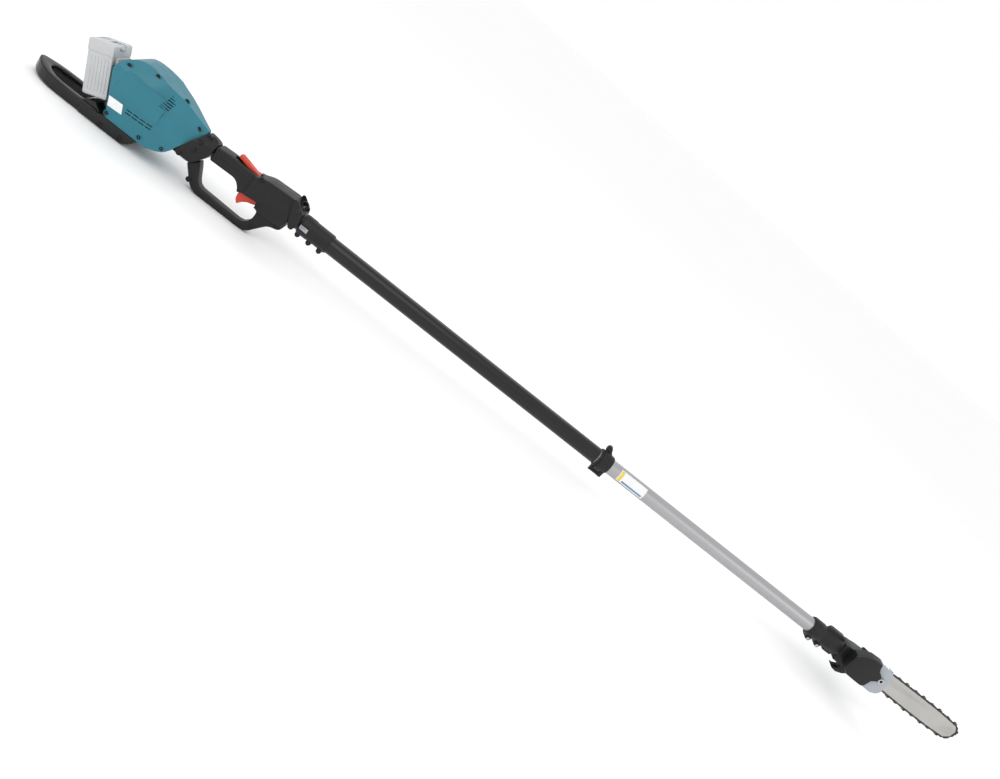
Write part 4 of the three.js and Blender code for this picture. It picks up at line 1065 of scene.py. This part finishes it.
class PoleSawGearCase(bpy.types.Operator):
    """Gear case with the bar stud, and the branch hook under it."""

    bl_idname = "pole_saw.gear_case"
    bl_label = "Gear case and hook"

    def execute(self, context):
        case = slab("gear_housing", CASE, -18, 24, rim=3, segments=4)
        carve(case, block("bar_seat", 1146, 1186, -22.9, -14, 2, 24), operation="UNION")
        for x in (1104, 1112):
            rib = block("rib", x, x + 2.5, -18.9, 24.2, -24, 24.5, rim=0.6, segments=2)
            carve(case, rib, operation="UNION")
        carve(case, slab("room", ((1088, 23), (1142, 23), (1146, 0), (1140, -23), (1088, -23)), -14, 21),
              rod("input_bore", 11.3, 1050, 1090, steps=48),
              rod("shaft_bore", 5.3, -40, 0, "y", (1115, 0, 0)),
              rod("near_seat", 11.3, -19.5, -13, "y", (1115, 0, 0), 48),
              rod("far_seat", 11.3, 19, 27, "y", (1115, 0, 0), 48))
        carve(case, rod("bar_stud", 4, -35, -16, "y", (1176, 0, BAR_Z), 32, 0.5), operation="UNION")
        finished(case, "inner_pole", "black_plastic", black(), ["gear_case"])
        hook = slab("hook", HOOK, -9, 13, rim=1.4, segments=3)
        finished(hook, "inner_pole", "black_plastic", black(), ["branch_hook"])
        return {"FINISHED"}


class PoleSawTank(bpy.types.Operator):
    """Oil tank with its cap."""

    bl_idname = "pole_saw.tank"
    bl_label = "Oil tank"

    def execute(self, context):
        tank = slab("tank_shell", TANK, 24.3, 50, rim=7, segments=6)
        carve(tank, slab("room", inset_outline(TANK, 5), 27.5, 45),
              rod("neck", 7, 5, 50, "z", (1146, 36.5, 0)))
        finished(tank, "inner_pole", "teal_plastic", teal(), ["oil_tank"])
        cap = turned("tank_cap", [(0, 13), (6.6, 13), (6.6, 20.9), (10, 20.9), (10.6, 21.6), (10.6, 25),
                                  (9.6, 26.2), (0, 26.4)], "z", (1146, 36.5, 0), 48, closed=False)
        grip = block("grip", 1137, 1155, 35.1, 37.9, 25.2, 28, rim=0.8)
        carve(cap, grip, operation="UNION")
        finished(cap, "oil_cap_body", "black_plastic", black(), ["oil_cap"])
        return {"FINISHED"}


class PoleSawCovers(bpy.types.Operator):
    """Sprocket cover, its black outer cap and the bar nut."""

    bl_idname = "pole_saw.covers"
    bl_label = "Sprocket cover"

    def execute(self, context):
        cover = slab("chain_cover", COVER, -43, -18.4, rim=3.5, segments=5, ends="low")
        carve(cover, slab("room", COVER_ROOM, -40, 0), block("chip_window", 1152, 1182, -36, -16, 44, 60),
              rod("nut_room", 8.6, -60, -30, "y", (1176, 0, BAR_Z), 48))
        finished(cover, "inner_pole", "grey_plastic", cover_grey(), ["sprocket_cover"])
        cover.data.materials.append(black())
        edit(cover)
        bpy.ops.mesh.select_all(action="SELECT")
        bpy.ops.mesh.bisect(plane_co=at(1147, 0, 0), plane_no=(1, 0, 0))
        pick(cover, "faces", lambda f: (f.calc_center_median().x - POLE.x) / MM < 1147)
        cover.active_material_index = 1
        bpy.ops.object.material_slot_assign()
        leave(cover)
        cap = slab("outer_cap", CAP, -51, -43.3, rim=3, segments=4, ends="low")
        carve(cap, slab("room", inset_outline(CAP, 4), -48.4, -40),
              rod("nut_room", 9.4, -60, -40, "y", (1176, 0, BAR_Z), 48))
        for i in range(3):
            x = 1106 + i * 6
            carve(cap, slab("rib", ((x, -14), (x + 2, -14), (x + 2, 12), (x, 12)), -50.9, -48.4))
        finished(cap, "inner_pole", "black_plastic", black(), ["head_cover"])
        nut = turned("flange_nut", [(8, -49), (8, -35.5), (4.3, -35.5), (4.3, -49)], "y", (1176, 0, BAR_Z), 6)
        finished(nut, "inner_pole", "steel", steel(), ["bar_nut"], smooth=20)
        return {"FINISHED"}


def bar_outline(grow=0.0):
    """The guide bar's outline, grown by a distance along its working edges."""
    half = HALF_BAR if not grow else HALF_BAR[2:]
    nose = [(NOSE_X + a, BAR_Z + b) for a, b in arc(NOSE_R + grow, 72, -72, 28)]
    return ([(x, BAR_Z + z + grow) for x, z in half] + nose
            + [(x, BAR_Z - z - grow) for x, z in reversed(half)])


def chain_path():
    """The closed line that the chain's rivets follow."""
    tail = [(1115 + a, b) for a, b in arc(17.6, 250, 110, 16)]
    return [Vector(p) for p in tail + bar_outline(2.6)]


def spaced(path, count):
    """Evenly spaced places along a closed line, each with its direction."""
    loop = path + [path[0]]
    lengths = [(b - a).length for a, b in zip(loop, loop[1:])]
    total = sum(lengths)
    places = []
    for i in range(count):
        left = total * i / count
        for a, b, size in zip(loop, loop[1:], lengths):
            if left <= size:
                places.append((a + (b - a) * (left / size), (b - a).normalized()))
                break
            left -= size
    return places


class PoleSawBar(bpy.types.Operator):
    """Guide bar with its slot and nose rivets."""

    bl_idname = "pole_saw.bar"
    bl_label = "Guide bar"

    def execute(self, context):
        bar = slab("bar_plate", bar_outline(), BAR_Y - 0.75, BAR_Y + 0.75)
        carve(bar, block("slot", 1169, 1190, -40, 0, BAR_Z - 4.4, BAR_Z + 4.4))
        for x, z in ((1412, 19), (1426, 19), (1412, 11), (1426, 11)):
            rivet = rod("rivet", 1.9, BAR_Y - 1.0, BAR_Y + 1.0, "y", (x, 0, z), 20, 0.2)
            carve(bar, rivet, operation="UNION")
        finished(bar, "inner_pole", "bar_steel", bar_steel(), ["guide_bar"])
        return {"FINISHED"}


class PoleSawChain(bpy.types.Operator):
    """Saw chain: side links, drive links, rivets and cutters."""

    bl_idname = "pole_saw.chain"
    bl_label = "Saw chain"

    def execute(self, context):
        path = chain_path()
        total = sum((b - a).length for a, b in zip(path, path[1:] + path[:1]))
        count = 2 * 3 * round(total / (sizes().chain_pitch * 1000) / 6)
        stops = spaced(path, count)
        pitch = total / count

        link = slab("link", soften([(-pitch * 0.5 - 2.6, 0), (-pitch * 0.5, 2.5), (-1, 1.7), (1, 1.7),
                                    (pitch * 0.5, 2.5), (pitch * 0.5 + 2.6, 0), (pitch * 0.5, -2.5),
                                    (-pitch * 0.5, -2.5)], 1.4), -0.6, 0.6, rim=0.2, segments=1)
        drive = slab("drive_link", [(-pitch * 0.5 - 2, 1.9), (pitch * 0.5 + 2, 1.9), (pitch * 0.5 + 2, -2.2),
                                    (2, -3.4), (-2, -3.4), (-pitch * 0.5 - 2, -2.2)], -0.6, 0.6)
        tooth = slab("cutter", [(-5, 1.0), (-5, 4.4), (1.5, 5.4), (1.5, 1.8), (3.6, 1.8), (4.6, 4.4),
                                (6.4, 4.0), (6.4, 1.0)], 0.3, 2.6, rim=0.3, segments=1)
        pin = rod("rivet", 1.5, -2.45, 2.45, "y", steps=10)
        copies = []
        for i, (point, along) in enumerate(stops):
            ahead = stops[(i + 1) % count][0]
            half_way = (point + ahead) / 2
            heading = (ahead - point).normalized()
            angle = -math.degrees(math.atan2(heading.y, heading.x))
            shapes = [(pin, 0, point)]
            if i % 2:
                shapes += [(link, -1.5, half_way), (link, 1.5, half_way)]
            else:
                shapes += [(drive, 0, half_way)]
            if i % 6 in (1, 4):
                shapes.append((tooth, 0 if i % 6 == 1 else -2.9, half_way))
            for shape, y, place_at in shapes:
                copy = twin(shape, shape.name)
                turn(copy, angle if shape is not pin else 0, "y", (0, 0, 0))
                shift(copy, place_at.x, BAR_Y + y, place_at.y)
                copies.append(copy)
        for shape in (link, drive, tooth, pin):
            bpy.data.objects.remove(shape)
        chain = merge(copies[0], *copies[1:])
        chain.name = "chain_links"
        finished(chain, "inner_pole", "chain_steel", chain_steel(), ["saw_chain"])
        return {"FINISHED"}


# ---- screws of the mouldings ----------------------------------------------------------------

SCREWS = {
    "housing": ((-1018, -50, 54), (-961, -25, 77), (-895, -25, 62), (-846, -25, 31), (-1007, -60, -55),
                (-929, -60, -54), (-880, -60, -43)),
    "neck": ((-820, -20, 29), (-829, -30, 11), (-833, -30, -12), (-855, -30, -37)),
    "handle": ((-651, -18, -72), (-664, -18, -25), (-812, -18, -75), (-686, -18, 27), (-608, -18, -34)),
    "guard": ((-1010.5, -50, -88), (-963.5, -50, -85)),
}
SCREWED = {"housing": "motor_housing_right_half", "neck": "neck_housing_right_half",
           "handle": "handle_right_half", "guard": "rear_guard"}


def seat_on(moulding, point):
    """Where a sight line through a point first meets a moulding, in millimetres, and how that spot faces."""
    eye = at(*VIEW_POINT)
    met, spot, facing, _ = moulding.ray_cast(eye, (at(*point) - eye).normalized())
    if not met:
        raise RuntimeError(f"{moulding.name} is not under the screw at {point}")
    return (spot - POLE) / MM, facing


def side_seat(moulding, x, z):
    """Where a line along +Y at a given x and z first meets a moulding, and how that spot faces."""
    met, spot, facing, _ = moulding.ray_cast(at(x, -200, z), AXES["y"])
    if not met:
        raise RuntimeError(f"{moulding.name} has no side at {x:.0f}, {z:.0f}")
    return (spot - POLE) / MM, facing


class PoleSawScrews(bpy.types.Operator):
    """Screws of the near side, each sunk in a round seat of its moulding."""

    bl_idname = "pole_saw.screws"
    bl_label = "Screws"

    def execute(self, context):
        head = sizes().screw_head / MM / 2
        hole = sizes().screw_hole / MM / 2
        ring = hole + 1.2
        low, high = [(corner - POLE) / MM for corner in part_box("motor_housing_right")]
        for group, places in SCREWS.items():
            screws, seats = [], []
            for point in places:
                spot, facing = seat_on(bpy.data.objects[SCREWED[group]], point)
                if spot.z + ring > high.z:
                    spot, facing = side_seat(bpy.data.objects[SCREWED[group]], spot.x, high.z - ring)
                rise = min(0.9 + 7.0 * (1 + facing.y), 3.0, spot.y - low.y)
                seats.append(turned(f"{group}_seat", [
                    (0, 1.3 - rise), (hole, 1.3 - rise), (hole, -rise), (hole + 0.8, -rise),
                    (ring, 0.4 - rise), (ring, rise + 0.7), (0, rise + 0.7)], "y", spot, 32, closed=False))
                screws.append(turned(f"{group}_screw", [
                    (0, 1.1 - rise), (1.3, 1.1 - rise), (1.7, 0.4 - rise), (head - 0.5, 0.4 - rise),
                    (head, 0.9 - rise), (head, 1.25 - rise), (0, 1.25 - rise)], "y", spot, 24, closed=False))
            rings, heads = merge(*seats), merge(*screws)
            rings.name, heads.name = f"{group}_screw_seats", f"{group}_screws"
            if group == "housing":
                finished(rings, "housing", "teal_plastic", teal())
            else:
                finished(rings, "housing", "black_plastic", black())
            finished(heads, "housing", "black_plastic", black())
        return {"FINISHED"}


# ---- floor, lights and camera ---------------------------------------------------------------

VIEW_POINT = (-331.3, -1907.2, 675.1)
VIEW_RIGHT = (0.7750, 0.0925, 0.6252)
VIEW_UP = (-0.6110, 0.3626, 0.7037)
LENS = 32.4
SENSOR = 36.0


def area_light(name, centre, target, size, power):
    """A soft square lamp that faces a target."""
    deselect()
    bpy.ops.object.light_add(type="AREA", location=centre)
    lamp = bpy.context.object
    lamp.name = name
    lamp.rotation_euler = (Vector(target) - Vector(centre)).to_track_quat("-Z", "Y").to_euler()
    lamp.data.size = size
    lamp.data.energy = power
    return lamp


class PoleSawStudio(bpy.types.Operator):
    """Pale floor, soft lamps and the camera."""

    bl_idname = "pole_saw.studio"
    bl_label = "Studio"

    def execute(self, context):
        deselect()
        bpy.ops.mesh.primitive_plane_add(size=2.0, location=(0, 0, -0.0005))
        floor = context.object
        floor.name = "studio_floor"
        bpy.ops.object.mode_set(mode="EDIT")
        bpy.ops.mesh.subdivide(number_cuts=12)
        bpy.ops.transform.resize(value=(40, 40, 1))
        leave(floor)
        f = Finish("studio_floor_paint")
        tint = tuple(colours().floor)
        f.paint(f.mix(f.ramp(f.noise(0.6, 2.0), 0.3, 0.7), shade(tint, 0.99), tint))
        f.gloss(f.ramp(f.noise(3.0, 3.0), 0.3, 0.7, 0.75, 0.85))
        f.set(Specular_IOR_Level=0.1)
        floor.data.materials.append(f.material)

        world = context.scene.world or bpy.data.worlds.new("studio_world")
        context.scene.world = world
        world.use_nodes = True
        background = world.node_tree.nodes["Background"]
        background.inputs["Color"].default_value = (1.0, 1.0, 1.0, 1.0)
        background.inputs["Strength"].default_value = 1.0

        area_light("key_lamp", (-1.2, -2.2, 3.0), (-0.2, 0, 0.1), 2.4, 27)
        area_light("fill_lamp", (2.4, -2.6, 1.6), (0.4, 0, 0.1), 2.2, 9)
        area_light("rear_lamp", (0.0, 2.6, 2.6), (0.0, 0, 0.1), 2.2, 12)

        bpy.ops.object.camera_add(location=at(*VIEW_POINT))
        camera = context.object
        camera.name = "camera"
        right, up = Vector(VIEW_RIGHT).normalized(), Vector(VIEW_UP)
        up = (up - right * up.dot(right)).normalized()
        camera.rotation_mode = "QUATERNION"
        camera.rotation_quaternion = Matrix((right, up, right.cross(up))).transposed().to_quaternion()
        camera.data.sensor_width = SENSOR
        camera.data.lens = LENS
        camera.data.clip_start = 0.01
        camera.data.clip_end = 200.0
        context.scene.camera = camera
        context.scene.view_settings.view_transform = "Standard"
        return {"FINISHED"}


# ---- pieces kept from the CAD model ---------------------------------------------------------

def kept():
    """The finish of each CAD node that keeps its own shape."""
    return {
        dark: ("cooling_fan", "battery_dock", "switch_unit"),
        steel: ("motor_rotor", "motor_bearing_rear", "motor_bearing_front", "drive_shaft_rear",
                "drive_shaft_front", "trigger_pin", "trigger_spring", "lock_off_pin", "lock_off_spring",
                "lock_lever_pin", "input_bearing", "output_bearing_near", "output_bearing_far",
                "bevel_pinion", "bevel_gear", "output_shaft", "drive_sprocket", "battery_cells"),
        cast_alloy: ("controller",),
        copper: ("motor_stator",),
        rubber: ("shaft_bush_rear", "shaft_bush_front", "inner_tube_tail_bush", "guide_bush"),
    }


class PoleSawKept(bpy.types.Operator):
    """Finishes for the CAD nodes that keep their own shape."""

    bl_idname = "pole_saw.kept"
    bl_label = "Kept CAD pieces"

    def execute(self, context):
        for finish, nodes in kept().items():
            for node in nodes:
                mesh = FRAME["nodes"][node].data
                mesh.materials.clear()
                mesh.materials.append(finish())
        return {"FINISHED"}


STEPS = (PoleSawKept, PoleSawHousing, PoleSawGuard, PoleSawNeck, PoleSawHandle, PoleSawControls,
         PoleSawHanger, PoleSawClamp, PoleSawPole, PoleSawLock, PoleSawBattery, PoleSawHeadClamp,
         PoleSawGearCase, PoleSawTank, PoleSawCovers, PoleSawBar, PoleSawChain, PoleSawScrews,
         PoleSawStudio)


# ---- panel and run --------------------------------------------------------------------------

class PoleSawPanel(bpy.types.Panel):
    """Lists the saw's steps, colours and sizes in the sidebar."""

    bl_idname = "VIEW3D_PT_pole_saw"
    bl_label = "Pole saw"
    bl_space_type = "VIEW_3D"
    bl_region_type = "UI"
    bl_category = "Pole saw"

    def draw(self, context):
        for step in STEPS:
            self.layout.operator(step.bl_idname)
        for group in (context.scene.pole_saw_colours, context.scene.pole_saw_sizes):
            for name in group.__annotations__:
                self.layout.prop(group, name)


GROUPS = (PoleSawColours, PoleSawSizes)


def register():
    for kind in (*GROUPS, *STEPS, PoleSawPanel):
        bpy.utils.register_class(kind)
    bpy.types.Scene.pole_saw_colours = PointerProperty(type=PoleSawColours)
    bpy.types.Scene.pole_saw_sizes = PointerProperty(type=PoleSawSizes)


def unregister():
    del bpy.types.Scene.pole_saw_sizes
    del bpy.types.Scene.pole_saw_colours
    for kind in reversed((*GROUPS, *STEPS, PoleSawPanel)):
        bpy.utils.unregister_class(kind)


def main():
    register()
    for step in STEPS:
        group, name = step.bl_idname.split(".")
        getattr(getattr(bpy.ops, group), name)()
    deselect()


if __name__ == "__main__":
    main()
